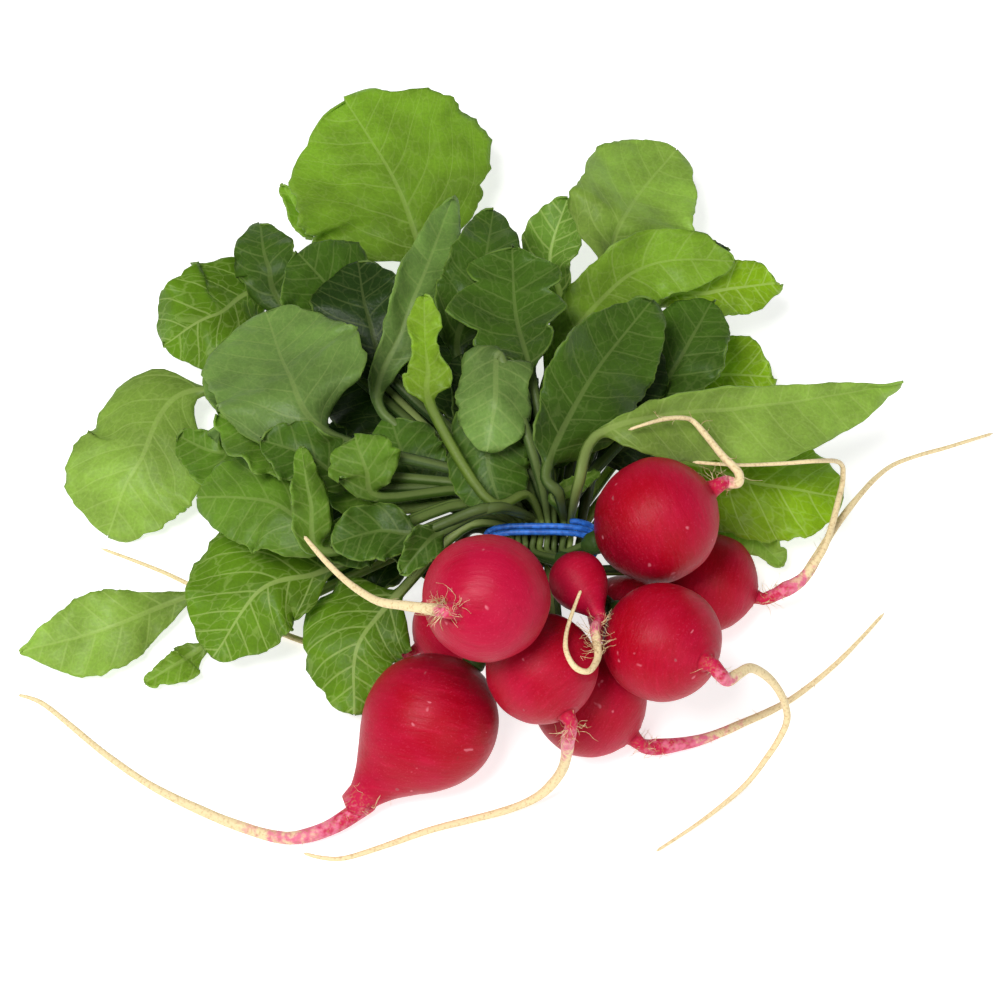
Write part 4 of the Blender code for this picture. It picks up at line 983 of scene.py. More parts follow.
def fine_route(plant, index):
    number, spot, height, radius = plant[:4]
    across, rise = COLUMNS[number, index]
    own = [place[0] for key, place in COLUMNS.items() if key[0] == number]
    spread = across - (min(own) + max(own)) / 2
    crown = seen(*spot, height) + crown_way(plant) * (radius + CROWN_GAP + 0.25 * CROWN_LENGTH)
    aside = np.array([CROWN_CROWDING * spread, 0.0, 0.35 * (rise - (plant[6] - 1) * ROW_PITCH)])
    entry = TIE + np.array([across, -TIE_HALF_LENGTH, rise])
    return [drawn(crown + aside), drawn(entry)] + leaf_route(plant, index)


def fine_blade(plant, index):
    number = plant[0]
    outline, line, halves, lifts, lobe, wave = LEAVES[number][index]
    route = fine_route(plant, index)
    legs = len(line) - 1
    first = len(route) - len(line)
    length = np.hypot(*np.diff(np.array(line)[:, :2], axis=0).T).sum() * SKETCH_UNIT
    rows = int(np.clip(length * 1.15, 22, 60))
    cols = int(np.clip(max(halves) * SKETCH_UNIT * 1.3, 9, 22))
    stem = list(np.linspace(0.0, first - 0.06, 6 * first))
    shares = 1.0 - (1.0 - np.linspace(0.0, 1.0, rows)) ** 1.25
    stations = np.array(stem + list(first + shares * legs))
    share = (stations - first) / legs
    lane = np.linspace(-1.0, 1.0, 2 * cols + 1)
    lane = np.sign(lane) * np.abs(lane) ** 1.35

    spine = smooth_line(route, stations)
    step = 0.02
    before = smooth_line(route, np.maximum(stations - step, 0.0))
    after = smooth_line(route, np.minimum(stations + step, len(route) - 1.0))
    opened = smooth_step(share, 0.0, OPENING)

    # The stalk: round, thinner in the tie.
    radius = np.interp(stations, [0, 0.6, 1, 3, 4, first],
                       [STALK_AT_CROWN, STALK_BEFORE_TIE, PETIOLE_AT_TIE, PETIOLE_AT_TIE,
                        PETIOLE_RADIUS, PETIOLE_RADIUS])
    radius = radius * (1 - 0.25 * np.clip(share, 0, 1))
    tangent = unit(seen(*after.T) - seen(*before.T))
    side = unit(np.cross(tangent, (0.0, 0.0, 1.0)))
    round_lane = np.sin(math.pi / 2 * lane)
    aside = side[:, None] * (round_lane[None, :] * radius[:, None])[..., None]
    stalk = seen(*spine.T)[:, None] + aside

    # The blade on the picture: outline, scallops, curled edges and waves.
    heading = unit((after - before)[:, :2])
    right = np.stack([-heading[:, 1], heading[:, 0]], axis=1)
    inside = np.clip(share, 0.0, 1.0)
    shape = smooth_line(np.array(OUTLINES[outline])[:, None], inside * (len(OUTLINES[outline]) - 1))[:, 0]
    seed = int(number) * 20 + index
    other_half = (lane > 0)[None, :]
    turn = inside[:, None] + 0.07 * other_half
    scallop = 2.0 * np.abs(np.cos(LOBES * math.pi * turn + 0.4 * seed)) - 1.3
    tooth = sum(size * np.sin(2 * math.pi * (often * turn + start * seed)) for size, often, start in TEETH)
    crooked = CROOKED * np.sin(2 * math.pi * (1.6 * turn + 0.29 * seed + 0.3 * other_half))
    tip = np.sqrt(np.clip(1.0 - (np.clip(inside - TIP_ROUND, 0, 1) / (1 - TIP_ROUND)) ** 2, 0.0004, 1.0))
    fullness = TIP_FULLNESS.get(outline, FULLNESS)
    shape = np.where(inside > TIP_ROUND, np.maximum(shape, fullness), shape)
    shape = (shape * tip)[:, None] * (1.0 + lobe * scallop + tooth + crooked)
    width = np.where(other_half, halves[1], halves[0]) * np.maximum(shape, 0.004)
    width = np.maximum(width, (PETIOLE_RADIUS / SKETCH_UNIT * (1 - inside))[:, None])
    edge = np.where(lane < 0, lifts[0], lifts[1])[None, :] * np.abs(lane)[None, :] ** EDGE_CURVE
    waves = wave * waves_at(inside[:, None], lane[None, :], index)
    frill = FRILL * np.abs(lane)[None, :] ** 4 * np.sin(
        2 * math.pi * (FRILLS * inside[:, None] + 0.2 * seed + 0.1 * lane[None, :]))
    places = spine[:, None, :2] + right[:, None] * (lane[None, :] * width)[..., None]
    tall = spine[:, 2][:, None] + (edge + waves + frill) * swelling(inside)[:, None]
    blade = seen(places[..., 0], places[..., 1], tall)
    grid = stalk + (blade - stalk) * opened[:, None, None]

    # The raise of the coarse blade, spread over the fine one.
    coarse_stations, coarse_lanes, lift = laid[number, index]
    at = np.clip(stations - 2.0, 0.0, coarse_stations[-1])
    by_station = np.stack([np.interp(at, coarse_stations, column) for column in lift.T], axis=1)
    spread = np.stack([np.interp(lane, coarse_lanes, row) for row in by_station])
    spread = softened(softened(spread, max(rows // 12, 1)).T, max(cols // 5, 1)).T
    sketch = drawn(grid)
    sketch[..., 2] += spread * smooth_step(stations, 2.6, 3.4)[:, None]
    grid = seen(sketch[..., 0], sketch[..., 1], sketch[..., 2])
    return grid, lane, share, radius, opened, seed


# %% [markdown]
# The sheet becomes a solid by moving it up and down along its own normals. Where it is a stalk, both
# moves follow a circle. Where it is a blade, the upper face takes the quilting and a shallow groove
# along the midrib, and the lower face takes the rib. The measures that the leaf material reads are
# written on every vertex here: the vein count, the distance from the midrib and the share of length.

# %% One leaf as a closed mesh


def leaf_mesh(plant, index):
    grid, lane, share, radius, opened, seed = fine_blade(plant, index)
    rows, cols = grid.shape[:2]
    along = np.gradient(grid, axis=0)
    sideways = np.gradient(grid, axis=1)
    normal = unit(np.cross(sideways, along))
    running = np.concatenate([[0.0], np.cumsum(np.linalg.norm(np.diff(grid[:, cols // 2], axis=0), axis=1))])
    running = running - np.interp(0.0, share, running)
    steps = np.linalg.norm(np.diff(grid, axis=1), axis=2)
    across = np.concatenate([np.zeros((rows, 1)), np.cumsum(steps, axis=1)], axis=1)
    across = across - across[:, cols // 2][:, None]
    away = np.abs(across)
    pitch = VEIN_PITCH * np.clip(running[-1] / FULL_LENGTH, 0.55, 1.3)
    count = (running[:, None] - 0.62 * away - 0.011 * away ** 2) / pitch
    count = count + 0.12 * ripple(running[:, None] / 5.0, across / 5.0, seed)

    side = np.where(across > 0, 0.5, 0.0)
    bulge = np.abs(np.sin(math.pi * (count + side))) ** 0.8 - 0.55
    inner = smooth_step(away, 0.4, 3.0) * (1.0 - 0.6 * smooth_step(np.abs(lane)[None, :], 0.8, 1.0))
    quilt = QUILT * np.clip(pitch / VEIN_PITCH, 0.5, 1.2) * bulge * inner
    uneven = UNEVEN * ripple(running[:, None] / UNEVEN_SIZE, across / UNEVEN_SIZE, seed + 500)
    uneven = uneven + PUCKER * ripple(running[:, None] / PUCKER_SIZE, across / PUCKER_SIZE, seed + 900)
    grid = grid + normal * ((quilt + uneven) * opened[:, None])[..., None]

    inside = np.clip(share, 0.0, 1.0)[:, None]
    rib = RIB_DEPTH * (1 - 0.75 * inside) * np.exp(-(away / (RIB_WIDTH * (1 - 0.6 * inside))) ** 2)
    groove = GROOVE_DEPTH * (1 - 0.6 * inside) * np.exp(-(away / 0.8) ** 2)
    circle = radius[:, None] * np.sqrt(np.maximum(1.0 - np.sin(math.pi / 2 * lane)[None, :] ** 2, 0.004))
    blend_in = opened[:, None]
    up = circle * (1 - blend_in) + (BLADE_THICK / 2 - groove) * blend_in
    down = circle * (1 - blend_in) + (BLADE_THICK / 2 + rib) * blend_in
    top = grid + normal * up[..., None]
    bottom = grid - normal * down[..., None]
    points = np.concatenate([top.reshape(-1, 3), bottom.reshape(-1, 3)])
    points[:, 2] = np.maximum(points[:, 2], 0.05)

    number = rows * cols
    index_of = np.arange(number).reshape(rows, cols)
    a, b, c, d = index_of[:-1, :-1], index_of[:-1, 1:], index_of[1:, 1:], index_of[1:, :-1]
    faces = [np.stack([a, b, c, d], axis=-1).reshape(-1, 4),
             np.stack([a, d, c, b], axis=-1).reshape(-1, 4) + number]
    ring = np.concatenate([index_of[0, :], index_of[1:, -1], index_of[-1, -2::-1], index_of[-2:0:-1, 0]])
    after = np.roll(ring, -1)
    faces.append(np.stack([after, ring, ring + number, after + number], axis=-1))

    place = np.stack([count, across, np.broadcast_to(share[:, None], count.shape)], axis=-1).reshape(-1, 3)
    rim = np.broadcast_to(np.abs(lane)[None, :] * opened[:, None], count.shape).reshape(-1)
    span = np.stack([np.full(number, pitch), rim, np.ones(number)], axis=-1)
    under = span.copy()
    under[:, 2] = 0.0
    return points, np.concatenate(faces), np.concatenate([place, place]), np.concatenate([span, under])


# %% All leaves of one plant


def leafy_top(plant):
    number = plant[0]
    parts = [leaf_mesh(plant, index) for index in range(len(LEAVES[number]))]
    offsets = np.cumsum([0] + [len(part[0]) for part in parts])
    points = np.concatenate([part[0] for part in parts]) * MM
    faces = np.concatenate([part[1] + offset for part, offset in zip(parts, offsets)])
    tints = []
    for index, part in enumerate(parts):
        # Leaves not listed get the dark look: painted shade, as they lie deep in the bunch.
        colour, veins = LEAF_COLOURS[LEAF_LOOKS.get((number, index), "dark")]
        tints.append(np.tile([*linear(colour), veins], (len(part[0]), 1)))
    name = "leaves_" + number
    mesh = bpy.data.meshes.new(name)
    mesh.from_pydata(points.tolist(), [], faces.tolist())
    for label, values in (("vein_place", 2), ("vein_span", 3)):
        layer = mesh.attributes.new(label, "FLOAT_VECTOR", "POINT")
        layer.data.foreach_set("vector", np.concatenate([part[values] for part in parts]).ravel())
    layer = mesh.attributes.new("leaf_tint", "FLOAT_COLOR", "POINT")
    layer.data.foreach_set("color", np.concatenate(tints).ravel())
    mesh.shade_smooth()
    mesh.materials.append(LEAF)
    mesh.update()
    top = bpy.data.objects.new(name, mesh)
    home.objects.link(top)
    return top


# %% [markdown]
# Last each leaf gets its colour as it lies in the light: pale where the sky shines on it, yellow
# where the table shines through it, dark deep in the bunch. The leaves that the table below leaves
# out lie deepest, and are dark.

# %% The ten leafy tops
LEAF_LOOKS = {
    ("01", 0): "dark", ("01", 1): "pale", ("01", 2): "lit", ("01", 3): "pale", ("01", 4): "mid",
    ("01", 6): "grey_sheen",
    ("02", 0): "lit", ("02", 1): "lit", ("02", 2): "backlit", ("02", 3): "shaded_deep", ("02", 4): "dark",
    ("03", 1): "veined", ("03", 2): "pale",
    ("04", 0): "dark", ("04", 1): "backlit_yellow", ("04", 2): "backlit_yellow",
    ("05", 0): "pale", ("05", 1): "backlit_yellow",
    ("06", 0): "backlit", ("06", 1): "backlit", ("06", 2): "shaded_deep", ("06", 3): "shaded_deep", ("06", 4): "dark",
    ("06", 5): "grey_sheen", ("06", 6): "shaded_deep", ("06", 7): "mid",
    ("07", 0): "shaded_deep", ("07", 1): "lit", ("07", 2): "shaded_deep", ("07", 5): "shaded_deep",
    ("08", 0): "mid", ("08", 1): "mid", ("08", 2): "grey_sheen", ("08", 3): "shaded_deep", ("08", 4): "mid",
    ("08", 5): "mid",
    ("09", 0): "dark", ("09", 1): "shaded_deep", ("09", 2): "shaded_deep", ("09", 3): "grey_sheen", ("09", 4): "young",
    ("09", 5): "shaded_deep", ("09", 6): "shaded_deep",
    ("10", 0): "mid", ("10", 1): "shaded_deep", ("10", 2): "pale",
}
for plant in PLANTS:
    top = leafy_top(plant)
    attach(top, "root")
    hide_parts("top_" + plant[0])
    print(top.name, len(top.data.polygons) * 2, "triangles")

# %% [markdown]
# ## Roots by Geometry Nodes
#
# A root follows a path: straight through the bulb, then along its tail. If every point of the path
# knows its own radius, one sweep makes bulb, neck and tail as a single skin. So we draw the path as
# a line of points with a "thick" value, and a small tree turns it into a curve, sweeps a circle
# along it, welds the two ends shut, and pushes the skin in and out a little, since no root is turned
# on a lathe. The modifier is then baked to a plain mesh.

# %% Tree: root swept along its path


def new_tree(name, numbers):
    tree = bpy.data.node_groups.new(name, "GeometryNodeTree")
    tree.interface.new_socket("Geometry", in_out="INPUT", socket_type="NodeSocketGeometry")
    for label, kind, value in numbers:
        socket = tree.interface.new_socket(label, in_out="INPUT", socket_type=kind)
        socket.default_value = value
    tree.interface.new_socket("Geometry", in_out="OUTPUT", socket_type="NodeSocketGeometry")
    return tree, add_node(tree, "NodeGroupInput").outputs


def close_tree(tree, geometry, material):
    smooth = add_node(tree, "GeometryNodeSetShadeSmooth", {}, {"Geometry": geometry})
    real = add_node(tree, "GeometryNodeRealizeInstances", {}, {"Geometry": smooth})
    finish = add_node(tree, "GeometryNodeSetMaterial", {}, {"Geometry": real, "Material": material})
    add_node(tree, "NodeGroupOutput", {}, {0: finish})


def grown(name, mesh, tree, **numbers):
    seedling = bpy.data.objects.new(name, mesh)
    home.objects.link(seedling)
    modifier = seedling.modifiers.new(name, "NODES")
    modifier.node_group = tree
    for item in tree.interface.items_tree:
        if item.item_type == "SOCKET" and item.in_out == "INPUT" and item.name in numbers:
            modifier[item.identifier] = numbers[item.name]
    depsgraph = bpy.context.evaluated_depsgraph_get()
    finished = bpy.data.meshes.new_from_object(seedling.evaluated_get(depsgraph))
    seedling.modifiers.clear()
    seedling.data = finished
    finished.name = name
    return seedling


def root_tree():
    tree, given = new_tree("swept_root", (("Sides", "NodeSocketInt", 64),
                                          ("Dent", "NodeSocketFloat", 0.0004),
                                          ("Dent_Size", "NodeSocketFloat", 60.0)))
    thick = add_node(tree, "GeometryNodeInputNamedAttribute", {"data_type": "FLOAT"}, {"Name": "thick"})
    curve = add_node(tree, "GeometryNodeMeshToCurve", {}, {"Mesh": given["Geometry"]})
    circle = add_node(tree, "GeometryNodeCurvePrimitiveCircle", {}, {"Resolution": given["Sides"],
                                                                     "Radius": 1.0})
    skin = add_node(tree, "GeometryNodeCurveToMesh", {}, {"Curve": curve,
                                                          "Profile Curve": circle,
                                                          "Scale": thick.outputs["Attribute"],
                                                          "Fill Caps": False})
    welded = add_node(tree, "GeometryNodeMergeByDistance", {}, {"Geometry": skin,
                                                                "Distance": 0.000004})
    place = add_node(tree, "GeometryNodeInputPosition")
    noise = add_node(tree, "ShaderNodeTexNoise", {}, {"Vector": place, "Scale": given["Dent_Size"],
                                                      "Detail": 1.5})
    swing = add_node(tree, "ShaderNodeMath", {"operation": "SUBTRACT"}, {0: noise.outputs["Fac"], 1: 0.5})
    slim = add_node(tree, "ShaderNodeMapRange", {}, {"Value": thick.outputs["Attribute"], "From Min": 0.0,
                                                     "From Max": 0.01, "To Min": 0.08, "To Max": 1.0})
    depth = add_node(tree, "ShaderNodeMath", {"operation": "MULTIPLY"}, {0: swing,
                                                                         1: slim})
    depth = add_node(tree, "ShaderNodeMath", {"operation": "MULTIPLY"}, {0: depth,
                                                                         1: given["Dent"]})
    normal = add_node(tree, "GeometryNodeInputNormal")
    push = add_node(tree, "ShaderNodeVectorMath", {"operation": "SCALE"}, {0: normal,
                                                                           "Scale": depth})
    pushed = add_node(tree, "GeometryNodeSetPosition", {}, {"Geometry": welded,
                                                            "Offset": push})
    close_tree(tree, pushed, SKIN)
    return tree


ROOT_TREE = root_tree()
print("tree", ROOT_TREE.name, "with", len(ROOT_TREE.nodes), "nodes")

# %% Paths of bulbs and tails
BULB_TOP = ((-0.012, 0.0), (0.0, 0.2), (0.06, 0.47), (0.18, 0.77), (0.35, 0.955), (0.52, 1.0))
ROUND_FOOT = ((0.69, 0.94), (0.84, 0.74), (0.94, 0.47), (0.99, 0.25), (1.04, 0.13), (1.4, 0.09))
POINTED_FOOT = ((0.68, 0.93), (0.82, 0.76), (0.94, 0.55), (1.06, 0.36), (1.2, 0.22), (1.4, 0.13))
NECK_END = 1.15
# Millimetres of tail that stay pink before the cream begins.
PINK_LENGTH = {"02": 24.0, "03": 20.0, "05": 12.0, "06": 13.0, "07": 6.0, "08": 3.0, "09": 8.0, "10": 3.0}
PINK_OF_OTHERS = 8.0
BULB_STATIONS = 72
TAIL_FINE = 5
TAIL_WOBBLE = 0.09
SEALED = 0.003
FORK_START = 12.0
FREE_KNOTS = 3


def length_along(places):
    return np.concatenate([[0.0], np.cumsum(np.linalg.norm(np.diff(places, axis=0), axis=1))])


def bulb_path(plant):
    _, spot, height, radius, stretch, pointing, _, tails = plant
    pointed = stretch > POINTED_STRETCH
    profile = BULB_TOP + (POINTED_FOOT if pointed else ROUND_FOOT)
    neck_from, neck_to = POINTED_NECK if pointed else ROUND_NECK
    outline = smooth_line(profile, np.linspace(0.0, len(profile) - 1.0, BULB_STATIONS))
    outline = outline[outline[:, 0] < neck_to[0] - 0.02]
    down = (outline[:, 0] - BULB_MIDDLE) * 2 * radius
    down = np.where(down > 0, down * stretch, down)
    middle = seen(*spot, height)
    places = middle + plant_axis(pointing) * down[:, None]
    line, thickness = tail_line(plant, tails[0], False)
    if plant[0] != "01":
        line = tail_raised(pile, line, thickness, FREE_KNOTS)
    stations = np.linspace(2.0, len(line) - 1.0, (len(line) - 3) * TAIL_FINE + 1)
    fine = smooth_line(line, stations)
    thin = np.interp(stations, np.arange(len(line)), thickness)
    wobble = 1.0 + TAIL_WOBBLE * ripple(stations * 1.7, 0 * stations, int(plant[0]))
    swollen = max(outline[-1, 1] * radius - thin[0], 0.0)
    thin = thin + swollen * np.exp(-(stations - stations[0]) / 1.2)
    tail_places = seen(*fine.T)
    tube = np.interp(outline[:, 0], [neck_from[0], neck_to[0]], [neck_from[1], neck_to[1]])
    neck = np.maximum(outline[:, 1], tube * (outline[:, 0] > neck_from[0])) * radius
    thick = np.concatenate([neck, thin * wobble])
    thick[[0, -1]] = SEALED
    all_places = np.concatenate([places, tail_places])
    along = np.concatenate([outline[:, 0] * NECK_END / neck_to[0], np.full(len(thin), NECK_END)])
    return all_places, thick, along, np.concatenate([np.zeros(len(places)), length_along(tail_places)])


def fork_path(plant, tail):
    line, thickness = tail_line(plant, tail, True)
    line = tail_raised(pile, line, thickness, FREE_KNOTS)
    stations = np.linspace(0.0, len(line) - 1.0, (len(line) - 1) * TAIL_FINE + 1)
    fine = smooth_line(line, stations)
    thick = np.interp(stations, np.arange(len(line)), thickness)
    thick[[0, -1]] = SEALED
    places = seen(*fine.T)
    return places, thick, np.full(len(thick), NECK_END), FORK_START + length_along(places)


def path_mesh(name, paths, blush, pink=PINK_OF_OTHERS):
    places = np.concatenate([path[0] for path in paths])
    edges = []
    start = 0
    for path in paths:
        edges += [(i, i + 1) for i in range(start, start + len(path[0]) - 1)]
        start += len(path[0])
    mesh = bpy.data.meshes.new(name)
    mesh.from_pydata((places * MM).tolist(), edges, [])
    layers = {"thick": np.concatenate([path[1] for path in paths]) * MM,
              "along": np.concatenate([path[2] for path in paths]),
              "tail": np.concatenate([path[3] for path in paths]) / pink,
              "blush": np.full(len(places), blush)}
    for label, values in layers.items():
        layer = mesh.attributes.new(label, "FLOAT", "POINT")
        layer.data.foreach_set("value", values.astype(np.float32))
    return mesh


# %% The ten roots
ROOT_SIDES = 64
ROOT_DENT = 0.0011
BLUSH = {"08": 0.75, "09": 0.35, "03": 0.2, "02": 0.15}
root_paths = {}
for plant in PLANTS:
    number = plant[0]
    paths = [bulb_path(plant)] + [fork_path(plant, tail) for tail in plant[7][1:]]
    root_paths[number] = paths
    pink = PINK_LENGTH.get(number, PINK_OF_OTHERS)
    mesh = path_mesh("radish_" + number, paths, BLUSH.get(number, 0.0), pink)
    root = grown("radish_" + number, mesh, ROOT_TREE, Sides=ROOT_SIDES, Dent=ROOT_DENT)
    for vertex in root.data.vertices:
        vertex.co.z = max(vertex.co.z, 0.0)
    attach(root, "root")
    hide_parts("root_" + number)
    print(root.name, len(root.data.polygons), "faces")

# %% [markdown]
# ## Rootlets
#
# The tails carry fine side roots: tufts where a tail leaves its bulb, and single threads further on.
# They repeat along a path, so one tree grows them: points are spread on the given stretch, each
# gets a short thread turned and sized by chance with a fixed seed, and noise bends every thread in
# its own way. The thread is 0.15 mm thick, as thin as still shows in the picture.

# %% Tree: rootlets along a stretch of tail


def rootlet_tree():
    tree, given = new_tree("rootlets", (("Count", "NodeSocketInt", 20), ("Length", "NodeSocketFloat", 0.005),
                                        ("Thickness", "NodeSocketFloat", 0.00009),
                                        ("Curl", "NodeSocketFloat", 0.004), ("Seed", "NodeSocketInt", 1)))
    curve = add_node(tree, "GeometryNodeMeshToCurve", {}, {"Mesh": given["Geometry"]})
    spots = add_node(tree, "GeometryNodeResampleCurve", {}, {"Curve": curve,
                                                             "Count": given["Count"]})
    reach = add_node(tree, "ShaderNodeCombineXYZ", {}, {2: given["Length"]})
    thread = add_node(tree, "GeometryNodeCurvePrimitiveLine", {}, {"Start": (0.0, 0.0, 0.0),
                                                                   "End": reach})
    fine = add_node(tree, "GeometryNodeResampleCurve", {}, {"Curve": thread, "Count": 9})
    turn = add_node(tree, "FunctionNodeRandomValue", {"data_type": "FLOAT_VECTOR"},
                    {0: (-1.9, -1.9, -3.1), 1: (1.9, 1.9, 3.1), "Seed": given["Seed"]})
    size = add_node(tree, "FunctionNodeRandomValue", {"data_type": "FLOAT"},
                    {2: 0.3, 3: 1.0, "Seed": given["Seed"]})
    rotation = add_node(tree, "FunctionNodeEulerToRotation", {}, {0: turn})
    planted = add_node(tree, "GeometryNodeInstanceOnPoints", {}, {
        "Points": spots, "Instance": fine, "Rotation": rotation,
        "Scale": size.outputs[1]})
    loose = add_node(tree, "GeometryNodeRealizeInstances", {}, {"Geometry": planted})
    place = add_node(tree, "GeometryNodeInputPosition")
    noise = add_node(tree, "ShaderNodeTexNoise", {}, {"Vector": place, "Scale": 260.0,
                                                      "Detail": 1.0})
    centred = add_node(tree, "ShaderNodeVectorMath", {"operation": "SUBTRACT"},
                       {0: noise.outputs["Color"], 1: (0.5, 0.5, 0.5)})
    share = add_node(tree, "GeometryNodeSplineParameter")
    pull = add_node(tree, "ShaderNodeMath", {"operation": "MULTIPLY"}, {0: share.outputs["Factor"],
                                                                        1: given["Curl"]})
    bend = add_node(tree, "ShaderNodeVectorMath", {"operation": "SCALE"}, {0: centred,
                                                                           "Scale": pull})
    bent = add_node(tree, "GeometryNodeSetPosition", {}, {"Geometry": loose,
                                                          "Offset": bend})
    taper = add_node(tree, "ShaderNodeMapRange", {}, {"Value": share.outputs["Factor"], "To Min": 1.0,
                                                      "To Max": 0.35})
    radius = add_node(tree, "ShaderNodeMath", {"operation": "MULTIPLY"}, {0: taper,
                                                                          1: given["Thickness"]})
    section = add_node(tree, "GeometryNodeCurvePrimitiveCircle", {}, {"Resolution": 5, "Radius": 1.0})
    solid = add_node(tree, "GeometryNodeCurveToMesh", {}, {"Curve": bent,
                                                           "Profile Curve": section,
                                                           "Scale": radius, "Fill Caps": True})
    close_tree(tree, solid, FIBRE)
    return tree


ROOTLET_TREE = rootlet_tree()
print("tree", ROOTLET_TREE.name, "with", len(ROOTLET_TREE.nodes), "nodes")

# %% Tufts and threads
# Plant, path, from and to as millimetres past the neck, count, length, curl, seed.
ROOTLETS = (
    ("08", 0, -2.0, 4.0, 90, 0.006, 0.009, 3),
    ("08", 0, 4.0, 20.0, 9, 0.004, 0.005, 4),
    ("09", 0, -1.0, 14.0, 64, 0.0055, 0.009, 5),
    ("10", 0, -1.0, 3.0, 26, 0.0075, 0.008, 6),
    ("10", 0, 12.0, 34.0, 9, 0.006, 0.006, 7),
    ("05", 0, -1.0, 4.0, 34, 0.006, 0.008, 8),
    ("03", 0, -1.0, 8.0, 48, 0.005, 0.007, 9),
    ("03", 0, 12.0, 50.0, 10, 0.003, 0.004, 10),
    ("06", 0, -2.0, 5.0, 24, 0.006, 0.008, 11),
    ("07", 0, -1.0, 4.0, 22, 0.005, 0.007, 12),
    ("02", 0, -9.0, 6.0, 46, 0.008, 0.011, 13),
    ("02", 0, 6.0, 30.0, 10, 0.004, 0.005, 14),
    ("05", 1, 2.0, 30.0, 9, 0.0035, 0.004, 15),
)


def stretch_of(path, start, end):
    places, _, along, tail = path
    signed = np.where(tail > 0, tail, (along - NECK_END) * 30.0)
    steps = np.linspace(start, end, 12)
    return np.stack([np.interp(steps, signed, places[:, k]) for k in range(3)], axis=1)


for number, which, start, end, count, length, curl, seed in ROOTLETS:
    points = stretch_of(root_paths[number][which], start, end)
    name = "rootlets_{}_{}".format(number, seed)
    mesh = bpy.data.meshes.new(name)
    mesh.from_pydata((points * MM).tolist(), [(i, i + 1) for i in range(len(points) - 1)], [])
    tuft = grown(name, mesh, ROOTLET_TREE, Count=count, Length=length, Curl=curl, Seed=seed)
    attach(tuft, "root")
print(len(ROOTLETS), "tufts of rootlets")

# %% [markdown]
# ## Crowns
#
# Where the leaf stalks meet a bulb there is a short green crown, scarred by older leaves. It is a
# small swollen collar between bulb and stalks, swept by the same tree as the roots but with the
# leaf material on it.

# %% The ten crowns
CROWN_SPAN = CROWN_LENGTH + 1.6
CROWN_RADIUS = 2.9
CROWN_SHARE = 0.33
CROWN_SINK = 0.8
CROWN_SWELL = ((0.0, 0.01), (0.4, 0.8), (1.6, 1.0), (3.6, 0.9), (5.2, 0.55), (5.8, 0.01))
CROWN_GREEN = "#5D7F33"
# No midrib or side vein is near: the count stands between two veins, far out on the blade.
CROWN_VEINS = {"vein_place": (0.25, 2.0, -0.5), "vein_span": (6.0, 0.0, 1.0)}
for plant in PLANTS:
    _, spot, height, radius, _, _, _, _ = plant
    way = crown_way(plant)
    start = seen(*spot, height) + way * (radius - CROWN_SINK)
    lengths = np.linspace(0.0, CROWN_SPAN, 16)
    swell = np.interp(lengths, *np.transpose(CROWN_SWELL)) * min(CROWN_RADIUS, CROWN_SHARE * radius)
    name = "crown_" + plant[0]
    flat = np.zeros(len(lengths))
    mesh = path_mesh(name, [(start + way * lengths[:, None], swell, flat, flat)], 0.0)
    crown = grown(name, mesh, ROOT_TREE, Sides=28, Dent=0.0012, Dent_Size=500.0)
    for label, value in CROWN_VEINS.items():
        layer = crown.data.attributes.new(label, "FLOAT_VECTOR", "POINT")
        layer.data.foreach_set("vector", np.tile(value, len(crown.data.vertices)))
    layer = crown.data.attributes.new("leaf_tint", "FLOAT_COLOR", "POINT")
    layer.data.foreach_set("color", np.tile(rgba(CROWN_GREEN), len(crown.data.vertices)))
    crown.data.materials.clear()
    crown.data.materials.append(LEAF)
    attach(crown, "root")
print("ten crowns")

# %% [markdown]
# ## The band
#
# A blue rubber band is wound a little over two turns round the stalks. Its path is a rounded
# rectangle that moves on by one band width each turn, and a small tree sweeps a flat section along
# it. Rubber under tension hugs what it holds, so the path keeps to the solid band of the part.

# %% Tree and path of the band
BAND_HALF_WIDTH = 13.4
BAND_HALF_HEIGHT = 8.8
BAND_SQUARENESS = 3.4
BAND_TURNS = 2.2
BAND_PITCH = 1.7
BAND_STEPS = 96


def band_tree():
    tree, given = new_tree("wound_band", (("Width", "NodeSocketFloat", 0.0014),
                                          ("Thickness", "NodeSocketFloat", 0.0011)))
    curve = add_node(tree, "GeometryNodeMeshToCurve", {}, {"Mesh": given["Geometry"]})
    section = add_node(tree, "GeometryNodeCurvePrimitiveQuadrilateral", {}, {"Width": given["Width"],
                                                                             "Height": given["Thickness"]})
    rounded = add_node(tree, "GeometryNodeFilletCurve", {}, {"Curve": section,
                                                             "Radius": 0.0004})
    solid = add_node(tree, "GeometryNodeCurveToMesh", {}, {"Curve": curve,
                                                           "Profile Curve": rounded,
                                                           "Fill Caps": True})
    close_tree(tree, solid, RUBBER)
    return tree


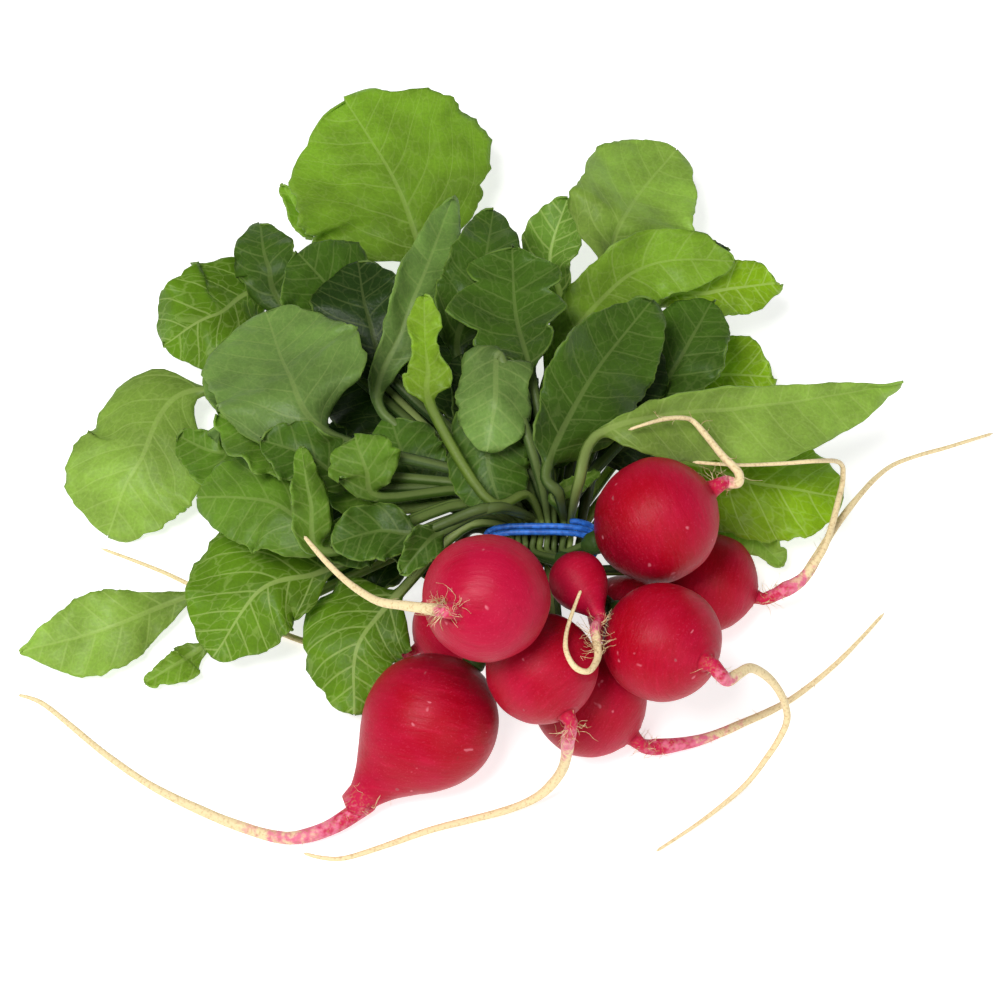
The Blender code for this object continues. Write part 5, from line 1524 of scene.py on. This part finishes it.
steps = np.arange(int(BAND_STEPS * BAND_TURNS) + 1)
turn = 2 * math.pi * steps / BAND_STEPS
x = np.sign(np.cos(turn)) * np.abs(np.cos(turn)) ** (2 / BAND_SQUARENESS) * BAND_HALF_WIDTH
z = np.sign(np.sin(turn)) * np.abs(np.sin(turn)) ** (2 / BAND_SQUARENESS) * BAND_HALF_HEIGHT
y = (steps / BAND_STEPS - BAND_TURNS / 2) * BAND_PITCH
points = TIE + np.stack([x, y, z], axis=1)
band_mesh = bpy.data.meshes.new("rubber_band")
band_mesh.from_pydata((points * MM).tolist(), [(i, i + 1) for i in range(len(points) - 1)], [])
band = grown("rubber_band", band_mesh, band_tree())
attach(band, "root")
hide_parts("band")
print("band", len(band.data.polygons), "faces")

# %% [markdown]
# ## The table and the light
#
# The bunch was pictured on a bright white surface with soft light from all round, so that the outer
# leaves glow and there are hardly any shadows. We use a pale floor that gives a little light itself,
# as a light table does, a white surrounding, and two large soft lamps: one high up on the left for
# the shine on the bulbs, and one at the front right for their lower sides.

# %% Floor, surrounding and lamps
FLOOR_HALF = 3.0
WHITE = (1.0, 1.0, 1.0, 1.0)
corners = [(x * FLOOR_HALF, y * FLOOR_HALF, 0.0) for x, y in ((-1, -1), (1, -1), (1, 1), (-1, 1))]
floor_mesh = bpy.data.meshes.new("floor")
floor_mesh.from_pydata(corners, [], [(0, 1, 2, 3)])
floor = bpy.data.objects.new("floor", floor_mesh)
home.objects.link(floor)
floor_material, floor_tree = new_material("pale_table")
floor_surface = add_node(floor_tree, "ShaderNodeBsdfPrincipled", {}, {
    "Base Color": rgba("#D6D6D4"), "Roughness": 0.9, "Specular IOR Level": 0.1,
    "Emission Color": WHITE, "Emission Strength": 0.7})
add_node(floor_tree, "ShaderNodeOutputMaterial", {}, {0: floor_surface})
floor.data.materials.append(floor_material)

world = bpy.data.worlds.new("surrounding")
world.use_nodes = True
sky = world.node_tree.nodes["Background"]
sky.inputs["Color"].default_value = WHITE
sky.inputs["Strength"].default_value = 0.17
bpy.context.scene.world = world
bpy.context.scene.view_settings.view_transform = "Standard"


LIT_PLACE = Vector((0.0, 0.05, 0.0))


def soft_lamp(name, place, size, power):
    data = bpy.data.lights.new(name, "AREA")
    data.shape = "DISK"
    data.size = size
    data.energy = power
    lamp = bpy.data.objects.new(name, data)
    lamp.location = place
    lamp.rotation_euler = (LIT_PLACE - Vector(place)).to_track_quat("-Z", "Y").to_euler()
    home.objects.link(lamp)


soft_lamp("lamp_high", (-0.35, -0.25, 1.1), 0.5, 14.0)
soft_lamp("lamp_front", (0.5, -0.9, 0.7), 0.9, 4.5)
print("floor, surrounding and two lamps")
